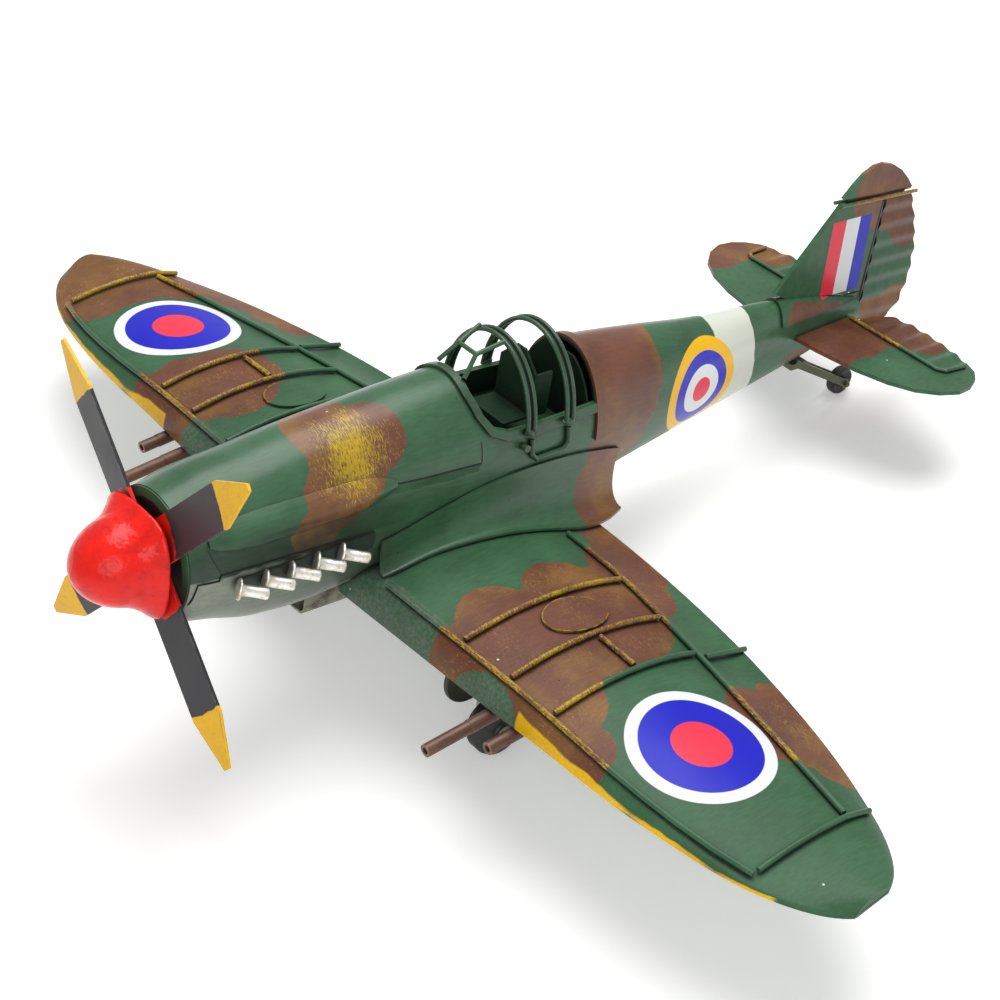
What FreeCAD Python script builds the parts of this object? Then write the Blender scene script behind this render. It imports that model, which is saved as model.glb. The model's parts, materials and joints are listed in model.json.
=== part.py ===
"""Hand-made tin model of a single-seat propeller fighter, about 380 mm in span.

Flight frame while modelling: X to the port wing tip, Y aft, Z up, millimetres. The nose points to -Y and
the propeller turns about a line parallel to Y. At the end every sub-part is tipped back onto its three
wheels, so that the model stands on z = 0.
"""
import FreeCAD, Part
import Sketcher
import math
import os

Vector = FreeCAD.Vector
Placement = FreeCAD.Placement
Rotation = FreeCAD.Rotation

X_AXIS = Vector(1, 0, 0)
Y_AXIS = Vector(0, 1, 0)
Z_AXIS = Vector(0, 0, 1)
SIDES = {"port": 1, "starboard": -1}

doc = FreeCAD.newDocument("TinFighter")

# ---------------------------------------------------------------------------------------------
# Driving dimensions, in millimetres unless the name says otherwise
# ---------------------------------------------------------------------------------------------
DIMENSIONS = {
    # stock and clearances
    "tin_sheet": 0.8,
    "wire_gauge": 1.6,
    "seam_gap": 0.12,
    "running_gap": 0.06,
    "wheel_side_gap": 0.3,
    # fuselage
    "thrust_height": 2.2,
    "fuselage_datum": 3.0,
    "fuselage_length": 281.0,
    "nose_face": 3.0,
    "nose_radius": 18.4,
    "fuselage_half_width": 20.2,
    "fuselage_depth": 54.0,
    "shell_joint": 100.0,
    # wing
    "half_span": 188.0,
    "root_lead": 61.5,
    "bend_station": 105.0,
    "bend_lead": 64.0,
    "chord_centre": 95.0,
    "lead_bulge": 31.0,
    "trail_bulge": 51.0,
    "wing_camber": 4.5,
    "nose_depth": 10.0,
    "wing_height": -15.0,
    "tip_wire_inset": 24.6,
    "inner_rib": 57.4,
    "middle_rib": 77.0,
    "outer_rib": 94.4,
    # cockpit
    "main_hoop_at": 118.0,
    "rear_hoop_at": 133.0,
    "hoop_height": 41.2,
    "hoop_half_width": 19.4,
    "hoop_foot": 16.0,
    "sill_height": 18.8,
    "cockpit_front": 101.0,
    "cockpit_rear": 146.5,
    "coaming_width": 2.6,
    "coaming_thickness": 0.9,
    "floor_height": 8.0,
    # propeller
    "propeller_radius": 61.8,
    "blade_plane": 0.7,
    "blade_width": 12.7,
    "blade_thickness": 1.0,
    "blade_pitch_degrees": 7.0,
    "blade_setting_degrees": 46.8,
    "flange_radius": 17.9,
    "dome_base": 4.3,
    "dome_radius": 11.6,
    "dome_length": 17.7,
    "boss_radius": 4.2,
    "shaft_radius": 2.0,
    "press_gap": 0.03,
    # undercarriage
    "wheel_track_half": 56.75,
    "wheel_aft": 85.6,
    "wheel_height": -50.4,
    "tyre_radius": 8.7,
    "tyre_width": 8.5,
    "hub_radius": 4.6,
    "axle_radius": 1.5,
    "leg_radius": 1.6,
    "door_radius": 9.5,
    "tail_wheel_aft": 282.3,
    "tail_wheel_height": -16.3,
    "tail_tyre_radius": 5.0,
    "tail_tyre_width": 3.6,
    "tail_hub_radius": 2.6,
    "tail_axle_radius": 0.9,
    # tail
    "fin_thickness": 1.6,
    "tailplane_height": 11.0,
    "tailplane_half_span": 56.0,
    "rudder_hinge": 280.6,
    "elevator_hinge": 275.0,
    "ridge_pitch": 7.0,
    "ridge_height": 0.7,
    # fittings
    "exhaust_shank": 1.5,
    "exhaust_head": 2.2,
    "exhaust_length": 8.5,
    "exhaust_pitch": 8.4,
    "exhaust_slant_degrees": 24.0,
    "cannon_radius": 1.9,
    "cannon_droop_degrees": 9.0,
    "cannon_inner": 75.0,
    "cannon_outer": 84.8,
    "cannon_long": 21.2,
    "cannon_short": 8.2,
    "scoop_half_width": 7.0,
    "scoop_depth": 6.0,
    "scoop_length": 16.0,
}

sheet = doc.addObject("Spreadsheet::Sheet", "Sizes")
for row, (alias, number) in enumerate(DIMENSIONS.items(), start=1):
    sheet.set("A%d" % row, alias)
    sheet.set("B%d" % row, str(number))
    sheet.setAlias("B%d" % row, alias)
doc.recompute()


class Size:
    """A number with the spreadsheet formula that it comes from, for sketches and primitives."""

    def __init__(self, value, formula):
        self.value = value
        self.formula = formula

    def joined(self, other, sign, result):
        """The size that follows from this one and another through one arithmetic sign."""
        return Size(result, "(%s %s %s)" % (self.formula, sign, other.formula))

    def __add__(self, other):
        other = as_size(other)
        return self.joined(other, "+", self.value + other.value)

    def __sub__(self, other):
        other = as_size(other)
        return self.joined(other, "-", self.value - other.value)

    def __mul__(self, other):
        other = as_size(other)
        return self.joined(other, "*", self.value * other.value)

    def __truediv__(self, other):
        other = as_size(other)
        return self.joined(other, "/", self.value / other.value)

    def __neg__(self):
        return Size(-self.value, "(0 - %s)" % self.formula)


def as_size(value):
    """A plain number as a Size; a Size stays as it is."""
    return value if isinstance(value, Size) else Size(float(value), repr(float(value)))


def cell(alias):
    """The spreadsheet cell with this alias, as a Size."""
    return Size(float(sheet.get(alias)), "Sizes.%s" % alias)


def size(alias):
    """The number in the spreadsheet cell with this alias."""
    return float(sheet.get(alias))


# ---------------------------------------------------------------------------------------------
# Parts list and modelling helpers
# ---------------------------------------------------------------------------------------------
subparts = []


def keep(part, label, place=None):
    """Enter a finished object in the parts list under its node name, with its place in the flight frame."""
    part.Label = label
    subparts.append((part, place or Placement()))
    return part


def keep_shape(shape, label):
    """Enter a shape made with Part's own functions as a sub-part."""
    feature = doc.addObject("Part::Feature", label)
    feature.Shape = shape
    return keep(feature, label)


def mirrored(shape, side):
    """The shape on the port side as it is, or its mirror image on the starboard side."""
    return shape if side > 0 else shape.mirror(Vector(0, 0, 0), X_AXIS)


def new_body(label):
    return doc.addObject("PartDesign::Body", label)


def origin_plane(body, role):
    """One of the body's own three origin planes, found by its role."""
    return next(item for item in body.Origin.OriginFeatures if item.Role == role)


def polygon_sketch(body, role, corners):
    """A closed polygon whose corners are held by the spreadsheet through two distances each."""
    sketch = body.newObject("Sketcher::SketchObject", body.Name + "Outline")
    sketch.AttachmentSupport = [(origin_plane(body, role), "")]
    sketch.MapMode = "FlatFace"
    corners = [(as_size(across), as_size(up)) for across, up in corners]
    points = [Vector(across.value, up.value, 0) for across, up in corners]
    for index, point in enumerate(points):
        following = points[(index + 1) % len(points)]
        sketch.addGeometry(Part.LineSegment(point, following), False)
    for index in range(len(points)):
        sketch.addConstraint(Sketcher.Constraint("Coincident", index, 2, (index + 1) % len(points), 1))
    for index, (across, up) in enumerate(corners):
        for kind, distance in (("DistanceX", across), ("DistanceY", up)):
            number = sketch.addConstraint(Sketcher.Constraint(kind, -1, 1, index, 1, distance.value))
            sketch.setExpression("Constraints[%d]" % number, distance.formula)
    return sketch


def turned_body(label, corners):
    """A body turned about its own Z axis from a half section of (radius, height) corners."""
    body = new_body(label)
    sketch = polygon_sketch(body, "XZ_Plane", corners)
    turning = body.newObject("PartDesign::Revolution", body.Name + "Turning")
    turning.Profile = sketch
    turning.ReferenceAxis = (sketch, ["V_Axis"])
    turning.Angle = 360
    sketch.Visibility = False
    return body


def sheet_body(label, role, corners, thickness):
    """A flat sheet cut to a polygon and padded evenly to both sides of its plane."""
    body = new_body(label)
    sketch = polygon_sketch(body, role, corners)
    pad = body.newObject("PartDesign::Pad", body.Name + "Sheet")
    pad.Profile = sketch
    pad.Midplane = True
    pad.setExpression("Length", as_size(thickness).formula)
    return body


def hermite(table, at):
    """Smooth value between the rows of a table of (place, value), without overshoot at its ends."""
    places = [place for place, _ in table]
    values = [value for _, value in table]
    if at <= places[0]:
        return values[0]
    if at >= places[-1]:
        return values[-1]
    slopes = []
    for index in range(len(table)):
        low = max(index - 1, 0)
        high = min(index + 1, len(table) - 1)
        slopes.append((values[high] - values[low]) / (places[high] - places[low]))
    index = max(number for number in range(len(table) - 1) if places[number] <= at)
    step = places[index + 1] - places[index]
    along = (at - places[index]) / step
    rise = values[index + 1] - values[index]
    start_pull = slopes[index] * step
    end_pull = slopes[index + 1] * step
    return (values[index] + start_pull * along + (3 * rise - 2 * start_pull - end_pull) * along ** 2
            + (start_pull + end_pull - 2 * rise) * along ** 3)


def spline_edge(points):
    curve = Part.BSplineCurve()
    curve.interpolate(points)
    return curve.toShape()


def strip_section(upper, lower):
    """Closed section of a thin curved sheet between two rows of points that run the same way."""
    return Part.Wire([spline_edge(upper), Part.makeLine(upper[-1], lower[-1]),
                      spline_edge(lower[::-1]), Part.makeLine(lower[0], upper[0])])


def rod_along(points, radius):
    """A round wire along straight runs with mitred corners."""
    path = Part.makePolygon(points)
    ring = Part.makeCircle(radius, points[0], points[1] - points[0])
    return path.makePipeShell([Part.Wire(ring)], True, False, 1)


def prism(outline, direction):
    """A solid pushed out from a closed row of points."""
    return Part.Face(Part.makePolygon(outline + outline[:1])).extrude(direction)


def largest(shape):
    """The biggest solid of a shape that a cut may have left in several pieces."""
    return max(shape.Solids, key=lambda solid: solid.Volume)


# ---------------------------------------------------------------------------------------------
# Fuselage form: egg-shaped cross sections along Y
# ---------------------------------------------------------------------------------------------
# The form is drawn at a length of its own. Its stations stay where they are as far as the wing's trailing
# edge, and those behind share out the tail cone, so the tail moves with the fuselage's length.
FORM_LENGTH = 281.0
CONE_START = 176.0
# share of the form's length, share of the half width, share of the depth above the datum, and below it
FUSELAGE_FORM = [
    (0.040, 0.965, 0.366, 0.430),
    (0.071, 0.985, 0.400, 0.480),
    (0.107, 1.000, 0.424, 0.528),
    (0.160, 1.010, 0.466, 0.552),
    (0.214, 1.000, 0.498, 0.535),
    (0.285, 0.985, 0.535, 0.512),
    (0.356, 0.970, 0.558, 0.500),
    (0.445, 0.935, 0.556, 0.472),
    (0.526, 0.865, 0.538, 0.425),
    (0.623, 0.715, 0.488, 0.330),
    (0.730, 0.520, 0.424, 0.235),
    (0.836, 0.320, 0.400, 0.140),
    (0.925, 0.190, 0.330, 0.045),
    (1.000, 0.120, 0.235, -0.070),
]
SECTION_STEPS = 20
STATION_COUNT = 29


def form_station(share):
    """Place of a station of the form along the fuselage."""
    drawn = share * FORM_LENGTH
    if drawn <= CONE_START:
        return drawn
    stretch = (size("fuselage_length") - CONE_START) / (FORM_LENGTH - CONE_START)
    return CONE_START + (drawn - CONE_START) * stretch


def fuselage_column(column, along_y, scale, at_nose):
    """One column of the form along the fuselage, starting from its value at the round nose face."""
    table = [(size("nose_face"), at_nose)]
    table += [(form_station(row[0]), row[column] * scale) for row in FUSELAGE_FORM]
    return hermite(table, along_y)


def half_width(along_y):
    return fuselage_column(1, along_y, size("fuselage_half_width"), size("nose_radius"))


def crown(along_y):
    """Height of the top centre line."""
    datum = size("fuselage_datum")
    at_nose = size("thrust_height") + size("nose_radius") - datum
    return datum + fuselage_column(2, along_y, size("fuselage_depth"), at_nose)


def keel(along_y):
    """Height of the bottom centre line."""
    datum = size("fuselage_datum")
    at_nose = size("nose_radius") - size("thrust_height") + datum
    return datum - fuselage_column(3, along_y, size("fuselage_depth"), at_nose)


def fuselage_point(along_y, angle, offset=0.0):
    """Point on the fuselage skin; the angle is counted from port towards the top."""
    middle = (crown(along_y) + keel(along_y)) / 2
    half_height = (crown(along_y) - keel(along_y)) / 2
    return Vector((half_width(along_y) + offset) * math.cos(angle), along_y,
                  middle + (half_height + offset) * math.sin(angle))


def skin_x(along_y, height, offset=0.0):
    """Half breadth of the fuselage at this height."""
    middle = (crown(along_y) + keel(along_y)) / 2
    half_height = (crown(along_y) - keel(along_y)) / 2 + offset
    lift = min(abs(height - middle) / half_height, 1.0)
    return (half_width(along_y) + offset) * math.sqrt(1 - lift ** 2)


def fuselage_solid(offset, start, end):
    """The fuselage form as one solid, grown or shrunk by the offset, between two stations."""
    rings = []
    count = max(4, round(STATION_COUNT * (end - start) / FORM_LENGTH))
    for number in range(count + 1):
        along_y = start + (end - start) * number / count
        points = [fuselage_point(along_y, 2 * math.pi * step / SECTION_STEPS, offset)
                  for step in range(SECTION_STEPS)]
        curve = Part.BSplineCurve()
        curve.interpolate(points, PeriodicFlag=True)
        rings.append(Part.Wire(curve.toShape()))
    return Part.makeLoft(rings, True, False)


def cockpit_outline(margin):
    """Side view of the cockpit opening, grown by a margin, as (aft, up) corners from the top front."""
    front = size("cockpit_front")
    sill = size("sill_height")
    rear = size("cockpit_rear")
    above = size("hoop_height") + 10
    return [(front - margin, above), (front - margin, sill + 12), (front + 1.8 - margin, sill + 6.5),
            (front + 5.4 - margin * 0.9, sill + 2.2 - margin * 0.45),
            (front + 11 - margin * 0.4, sill + 0.3 - margin * 0.9),
            (front + 19, sill - margin), (rear, sill - margin), (rear, above)]


def side_prism(corners, half_breadth):
    """A prism across the model from a side view of (aft, up) corners."""
    outline = [Vector(-half_breadth, aft, up) for aft, up in corners]
    return prism(outline, Vector(2 * half_breadth, 0, 0))


# ---------------------------------------------------------------------------------------------
# Wing form: a cambered top sheet rolled down over the leading edge, and a flat sheet below
# ---------------------------------------------------------------------------------------------
INNER_STATIONS = [9, 30, 55, 80]
OUTER_SHARES = [0.0, 0.241, 0.482, 0.663, 0.783, 0.88, 0.946, 0.983]
TIP_CLOSING = 1.75
CAMBER_STEPS = [0.0, 0.07, 0.2, 0.4, 0.6, 0.8, 0.93, 1.0]


def wing_stations():
    """Spanwise places of the wing's sections: fixed as far as the bend, then shared out to the tip."""
    bend = size("bend_station")
    return INNER_STATIONS + [bend + (size("half_span") - bend) * share for share in OUTER_SHARES]


def wing_lead(span_x):
    """Leading edge: straight inboard, then a quarter ellipse round the tip."""
    bend = size("bend_station")
    if span_x <= bend:
        return size("root_lead") + (size("bend_lead") - size("root_lead")) * span_x / bend
    out = (span_x - bend) / (size("half_span") - bend)
    return size("chord_centre") - size("lead_bulge") * math.sqrt(max(1 - out ** 2, 0))


def wing_trail(span_x):
    """Trailing edge: half an ellipse."""
    out = span_x / size("half_span")
    return size("chord_centre") + size("trail_bulge") * math.sqrt(max(1 - out ** 2, 0))


def tip_wire_station():
    """Spanwise place of the chordwise wire near the tip."""
    return size("half_span") - size("tip_wire_inset")


def droop(span_x, amount):
    """How far a line on the wing hangs down towards the tip."""
    start = size("middle_rib")
    reach = tip_wire_station() - start
    out = min(max(span_x - start, 0) / reach, 1.0)
    return amount * out ** 1.6


def shoulder(span_x):
    """The line just behind the leading edge where the top sheet starts to roll down."""
    chord = wing_trail(span_x) - wing_lead(span_x)
    return wing_lead(span_x) + 2.2 * min(1.0, chord / 45)


def shoulder_height(span_x):
    return size("wing_height") - droop(span_x, 6.6)


def rear_line(span_x):
    """The line of the rear wire, ahead of the trailing edge."""
    straight = 137.2 - 0.168 * span_x
    chord = wing_trail(span_x) - wing_lead(span_x)
    return min(straight, wing_trail(span_x) - 0.2 * chord)


def rear_height(span_x):
    return size("wing_height") + 0.9 - droop(span_x, 3.2)


def trail_height(span_x):
    return rear_height(span_x) - 0.19 * (wing_trail(span_x) - rear_line(span_x)) - droop(span_x, 0.6)


def lead_height(span_x):
    """Bottom of the rolled leading edge, closing up towards the tip."""
    closing = (span_x / size("half_span")) ** 2
    deep = size("wing_height") - size("nose_depth")
    shut = shoulder_height(span_x) - TIP_CLOSING * size("tin_sheet")
    return deep + (shut - deep) * closing


def wing_top(span_x, along_y):
    """Height of the top sheet's outer face at a place on the wing."""
    front = shoulder(span_x)
    rear = rear_line(span_x)
    if along_y >= rear:
        behind = (along_y - rear) / (wing_trail(span_x) - rear)
        return rear_height(span_x) + (trail_height(span_x) - rear_height(span_x)) * behind
    along = max(along_y - front, 0) / (rear - front)
    camber = (size("wing_camber") - droop(span_x, 3.0)) * 4 * along * (1 - along)
    return shoulder_height(span_x) + (rear_height(span_x) - shoulder_height(span_x)) * along + camber


def top_profile(span_x, sink):
    """Top sheet from leading to trailing edge; sink moves the profile into the wing."""
    lead = wing_lead(span_x) + sink
    low = lead_height(span_x)
    front = shoulder(span_x)
    high = shoulder_height(span_x)
    roll = 0.12 * (front - wing_lead(span_x))
    points = [Vector(span_x, lead, low),
              Vector(span_x, lead + roll, low + 0.55 * (high - low) - sink * 0.3)]
    for step in CAMBER_STEPS:
        along_y = front + (rear_line(span_x) - front) * step + sink * 0.5 * (1 - step)
        points.append(Vector(span_x, along_y, wing_top(span_x, along_y) - sink))
    points.append(Vector(span_x, wing_trail(span_x), trail_height(span_x) - sink))
    return points


def bottom_profile(span_x, sink):
    """Flat bottom sheet; it starts just behind the rolled edge and ends under the top sheet."""
    start = wing_lead(span_x) + size("tin_sheet") + 2 * size("seam_gap")
    end = wing_trail(span_x) - 0.02 * (wing_trail(span_x) - start)
    low = lead_height(span_x) + sink
    high = trail_height(span_x) - 2 * size("tin_sheet") - 2 * size("seam_gap") + sink
    return [Vector(span_x, start + (end - start) * share, low + (high - low) * share)
            for share in (0.0, 0.25, 0.5, 0.75, 1.0)]


def wing_sheet(profile, near_sink, far_sink):
    sections = [strip_section(profile(station, near_sink), profile(station, far_sink))
                for station in wing_stations()]
    return Part.makeLoft(sections, True, False)


tin = size("tin_sheet")
gap = size("seam_gap")
wire_radius = size("wire_gauge") / 2


def on_wing(span_x, along_y, lift):
    """Point above the wing's top sheet."""
    return Vector(span_x, along_y, wing_top(span_x, along_y) + lift)


def wire_on_wing(start, end, runs, lift=0.0):
    """A wire soldered to the top sheet between two places (span, aft), following the camber."""
    points = []
    for number in range(runs + 1):
        share = number / runs
        span_x = start[0] + (end[0] - start[0]) * share
        along_y = start[1] + (end[1] - start[1]) * share
        points.append(on_wing(span_x, along_y, wire_radius + gap + lift))
    return rod_along(points, wire_radius)


def wire_along_span(line, start_x, end_x, runs, lift):
    """A spanwise wire on the top sheet that keeps to a line given as a function of the span."""
    points = []
    for number in range(runs + 1):
        span_x = start_x + (end_x - start_x) * number / runs
        points.append(on_wing(span_x, line(span_x), wire_radius + gap + lift))
    return rod_along(points, wire_radius)


# ---------------------------------------------------------------------------------------------
# Fuselage shells, cockpit rim and cockpit pieces
# ---------------------------------------------------------------------------------------------
length = size("fuselage_length")
joint = size("shell_joint")
outer = fuselage_solid(0.0, size("nose_face"), length)
inner = fuselage_solid(-tin, size("nose_face") - 1.0, length - 20.0)
tube = outer.cut(inner)
opening = side_prism(cockpit_outline(0.0), 40)
reach = 200
front_half = Part.makeBox(2 * reach, joint, 2 * reach, Vector(-reach, 0, -reach))
rear_half = Part.makeBox(2 * reach, length, 2 * reach, Vector(-reach, joint, -reach))
keep_shape(largest(tube.common(front_half).cut(opening)), "cowl_shell")
keep_shape(largest(tube.common(rear_half).cut(opening)), "rear_shell")

rim_start = size("cockpit_front") - 8
rim_end = size("cockpit_rear") + 8
rim_layer = fuselage_solid(gap + size("coaming_thickness"), rim_start, rim_end)
rim_layer = rim_layer.cut(fuselage_solid(gap, rim_start - 1, rim_end + 1))
rim_band = side_prism(cockpit_outline(size("coaming_width")), 40).cut(opening)
keep_shape(largest(rim_layer.common(rim_band)), "cockpit_coaming")

arch_start = size("cockpit_rear") + gap
arch_width = 3.2
arch_foot = 7.0
arch_layer = fuselage_solid(gap + size("coaming_thickness"), arch_start, arch_start + arch_width)
arch_layer = arch_layer.cut(fuselage_solid(gap, arch_start - 1, arch_start + arch_width + 1))
above_foot = Part.makeBox(80, 20, 80, Vector(-40, arch_start - 5, arch_foot))
keep_shape(largest(arch_layer.common(above_foot)), "rear_arch_strip")


def bulkhead(label, at_y, top):
    """A flat tin wall across the inside of the fuselage, below a given height."""
    slab = fuselage_solid(-tin - gap, at_y, at_y + tin)
    below = Part.makeBox(80, 20, 80, Vector(-40, at_y - 5, top - 80))
    return keep_shape(largest(slab.common(below)), label)


front_wall = size("cockpit_front") + 2.0
rear_wall = size("cockpit_rear") - 2.6
bulkhead("cockpit_front_bulkhead", front_wall, 19.5)
bulkhead("cockpit_rear_bulkhead", rear_wall, 30.0)
floor_start = front_wall + tin + gap
floor_end = rear_wall - gap
floor_slab = fuselage_solid(-tin - gap, floor_start, floor_end)
floor_cut = Part.makeBox(80, length, tin, Vector(-40, 0, size("floor_height")))
keep_shape(largest(floor_slab.common(floor_cut)), "cockpit_floor")

# Seat: one sheet folded into a pan, a tall back and a turned side flange on the port side
SEAT_HALF = 8.0
SEAT_BACK_AT = 127.5
SEAT_TOP = 34.5
SEAT_PAN = 15.0
SEAT_PAN_DEPTH = 10.0
floor_top = size("floor_height") + tin
seat_profile = [(SEAT_BACK_AT - SEAT_PAN_DEPTH, floor_top + gap), (SEAT_BACK_AT - SEAT_PAN_DEPTH, SEAT_PAN),
                (SEAT_BACK_AT, SEAT_PAN), (SEAT_BACK_AT, SEAT_TOP), (SEAT_BACK_AT + tin, SEAT_TOP),
                (SEAT_BACK_AT + tin, SEAT_PAN - tin), (SEAT_BACK_AT - SEAT_PAN_DEPTH + tin, SEAT_PAN - tin),
                (SEAT_BACK_AT - SEAT_PAN_DEPTH + tin, floor_top + gap)]
seat = side_prism(seat_profile, SEAT_HALF)
corner_cut = 6.0
for side in SIDES.values():
    wedge = [Vector(side * SEAT_HALF, SEAT_BACK_AT - 1, SEAT_TOP - corner_cut),
             Vector(side * SEAT_HALF, SEAT_BACK_AT - 1, SEAT_TOP),
             Vector(side * (SEAT_HALF - corner_cut), SEAT_BACK_AT - 1, SEAT_TOP)]
    seat = seat.cut(prism(wedge, Vector(0, 3, 0)))
flange_length = 6.0
flange = Part.makeBox(tin, flange_length, SEAT_TOP - corner_cut - SEAT_PAN + tin,
                      Vector(SEAT_HALF - tin, SEAT_BACK_AT + tin, SEAT_PAN - tin))
keep_shape(seat.fuse(flange).removeSplitter(), "seat")


def hoop(at_y):
    """A double wire hoop with a flat band between its wires, standing outside the cockpit rim."""
    half = size("hoop_half_width")
    foot = size("hoop_foot")
    rise = size("hoop_height") - foot
    spacing = 2.4
    pieces = []
    for shift in (-spacing / 2, spacing / 2):
        points = [Vector(half * math.cos(math.pi * step / 18), at_y + shift,
                         foot + rise * math.sin(math.pi * step / 18)) for step in range(19)]
        pieces.append(rod_along(points, wire_radius))
    outline = []
    for radius in (0.3, -0.3):
        row = [Vector((half + radius) * math.cos(math.pi * step / 18), at_y - spacing / 2,
                      foot + (rise + radius) * math.sin(math.pi * step / 18)) for step in range(19)]
        outline += row if radius > 0 else row[::-1]
    band = prism(outline, Vector(0, spacing, 0))
    return pieces[0].fuse([pieces[1], band])


keep_shape(hoop(size("main_hoop_at")), "main_hoop")
keep_shape(hoop(size("rear_hoop_at")), "rear_hoop")

# Windscreen: two uprights, a top bar between them and two rails back to the main hoop
SCREEN_FOOT = (6.0, 101.2, 33.4)
SCREEN_TOP = (3.9, 106.4, 39.0)
SCREEN_REAR = (5.6, 115.2, 41.9)
rail = wire_radius * 0.9
frame_wires = []
for side in SIDES.values():
    foot, top, rear = [Vector(side * x, y, z) for x, y, z in (SCREEN_FOOT, SCREEN_TOP, SCREEN_REAR)]
    frame_wires.append(rod_along([foot, top, rear], rail))
bar = rod_along([Vector(-SCREEN_TOP[0], *SCREEN_TOP[1:]), Vector(*SCREEN_TOP)], rail)
keep_shape(bar.fuse(frame_wires).removeSplitter(), "windscreen_frame")

# Door outline: a U of wire on the port flank below the sill, with a small hinge lug at its front corner
DOOR_FRONT = 119.6
DOOR_REAR = 134.4
DOOR_BOTTOM = 8.6
door_top = size("sill_height") - size("coaming_width") - 1.2


def flank(along_y, height):
    """Centre of a wire that lies on the port flank."""
    return Vector(skin_x(along_y, height) + wire_radius + gap, along_y, height)


corner = 1.8
door_route = [flank(DOOR_FRONT, door_top), flank(DOOR_FRONT, DOOR_BOTTOM + corner),
              flank(DOOR_FRONT + corner, DOOR_BOTTOM), flank(DOOR_REAR - corner, DOOR_BOTTOM),
              flank(DOOR_REAR, DOOR_BOTTOM + corner), flank(DOOR_REAR, door_top)]
door_wire = rod_along(door_route, wire_radius)
lug_seat = flank(DOOR_FRONT - 3.0, door_top - 1.4) - Vector(wire_radius * 0.8, 0, 0)
lug = Part.makeCylinder(1.1, 2.2, lug_seat, X_AXIS)
keep_shape(Part.makeCompound([door_wire, lug]), "door_outline_wire")

# ---------------------------------------------------------------------------------------------
# Wing pieces, made on the port side and mirrored
# ---------------------------------------------------------------------------------------------
clear_of_fuselage = fuselage_solid(gap, 40, 175)
top_sheet = largest(wing_sheet(top_profile, 0.0, tin).cut(clear_of_fuselage))
bottom_sheet = largest(wing_sheet(bottom_profile, 0.0, tin).cut(clear_of_fuselage))

FAIRING_STATIONS = [66, 80, 95, 110, 125, 140, 152, 162]
FAIRING_TOP = [(62, -3.6), (73, -1.3), (86, 1.7), (101, 4.8), (119, 6.0), (136, 5.0), (155, 1.2), (164, -2.0)]
FAIRING_SPREAD = [(62, 22.5), (75, 23.5), (95, 25.5), (120, 28.0), (138, 29.5), (150, 27.5), (164, 22.5)]


def fairing_rows(along_y):
    """Outer and inner points of the root fairing at one station, from the flank out to the wing."""
    high = hermite(FAIRING_TOP, along_y)
    foot_x = hermite(FAIRING_SPREAD, along_y)
    foot_z = wing_top(foot_x, min(along_y, wing_trail(foot_x))) + gap + tin + 0.5
    start = Vector(skin_x(along_y, high) + gap + tin, along_y, high)
    bend = Vector(start.x + 0.3, along_y, foot_z)
    end = Vector(foot_x, along_y, foot_z)
    outside = []
    inside = []
    for share in (0.0, 0.2, 0.4, 0.6, 0.8, 1.0):
        point = start * (1 - share) ** 2 + bend * (2 * share * (1 - share)) + end * share ** 2
        slope = (bend - start) * (1 - share) + (end - bend) * share
        inward = Vector(slope.z, 0, -slope.x).normalize()
        outside.append(point)
        inside.append(point + inward * tin)
    return outside, inside


fairing_sections = [strip_section(*fairing_rows(station)) for station in FAIRING_STATIONS]
fairing = Part.makeLoft(fairing_sections, True, False)
behind_fairing = prism([Vector(0, 161, 5), Vector(0, 153, -30), Vector(0, 200, -30), Vector(0, 200, 5)],
                       Vector(60, 0, 0))
fairing = largest(fairing.cut(clear_of_fuselage).cut(behind_fairing))

OVAL_CENTRE = (67.0, 99.0)
OVAL_HALF_SPAN = 7.6
OVAL_HALF_CHORD = 10.7


def oval_blank_section(span_x):
    rows = []
    for lift in (gap + 0.8, gap + 0.1):
        rows.append([on_wing(span_x, OVAL_CENTRE[1] + shift * (OVAL_HALF_CHORD + 1), lift)
                     for shift in (-1.0, -0.5, 0.0, 0.5, 1.0)])
    return strip_section(*rows)


oval_blank = Part.makeLoft([oval_blank_section(OVAL_CENTRE[0] + shift * (OVAL_HALF_SPAN + 1))
                            for shift in (-1.0, 0.0, 1.0)], True, False)
oval_cutter = Part.Wire(Part.Ellipse(Vector(OVAL_CENTRE[0], OVAL_CENTRE[1] + OVAL_HALF_CHORD, -30),
                                     Vector(OVAL_CENTRE[0] + OVAL_HALF_SPAN, OVAL_CENTRE[1], -30),
                                     Vector(OVAL_CENTRE[0], OVAL_CENTRE[1], -30)).toShape())
oval_plate = largest(oval_blank.common(Part.Face(oval_cutter).extrude(Vector(0, 0, 40))))

inner_rib = size("inner_rib")
middle_rib = size("middle_rib")
outer_rib = size("outer_rib")
tip_station = tip_wire_station()
clear = 2 * wire_radius + gap
FRONT_WIRE_START = 26.0
REAR_WIRE_START = 31.0
WIRE_SETBACK = 0.6


def front_line(span_x):
    """The line of the front wire, just behind the rolled leading edge."""
    return shoulder(span_x) + WIRE_SETBACK


spar_wires = Part.makeCompound([
    wire_along_span(front_line, FRONT_WIRE_START, tip_station, 12, 0.55),
    wire_along_span(rear_line, REAR_WIRE_START, tip_station - clear, 12, 0.0),
    wire_on_wing((tip_station, front_line(tip_station) + clear),
                 (tip_station, wing_trail(tip_station) - 1.5), 8, 0.6)])


def rib_wire(span_x):
    """A chordwise wire between the front and the rear wire."""
    front = (span_x, front_line(span_x) + clear)
    return wire_on_wing(front, (span_x, rear_line(span_x) - clear), 8, 0.35)


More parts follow.
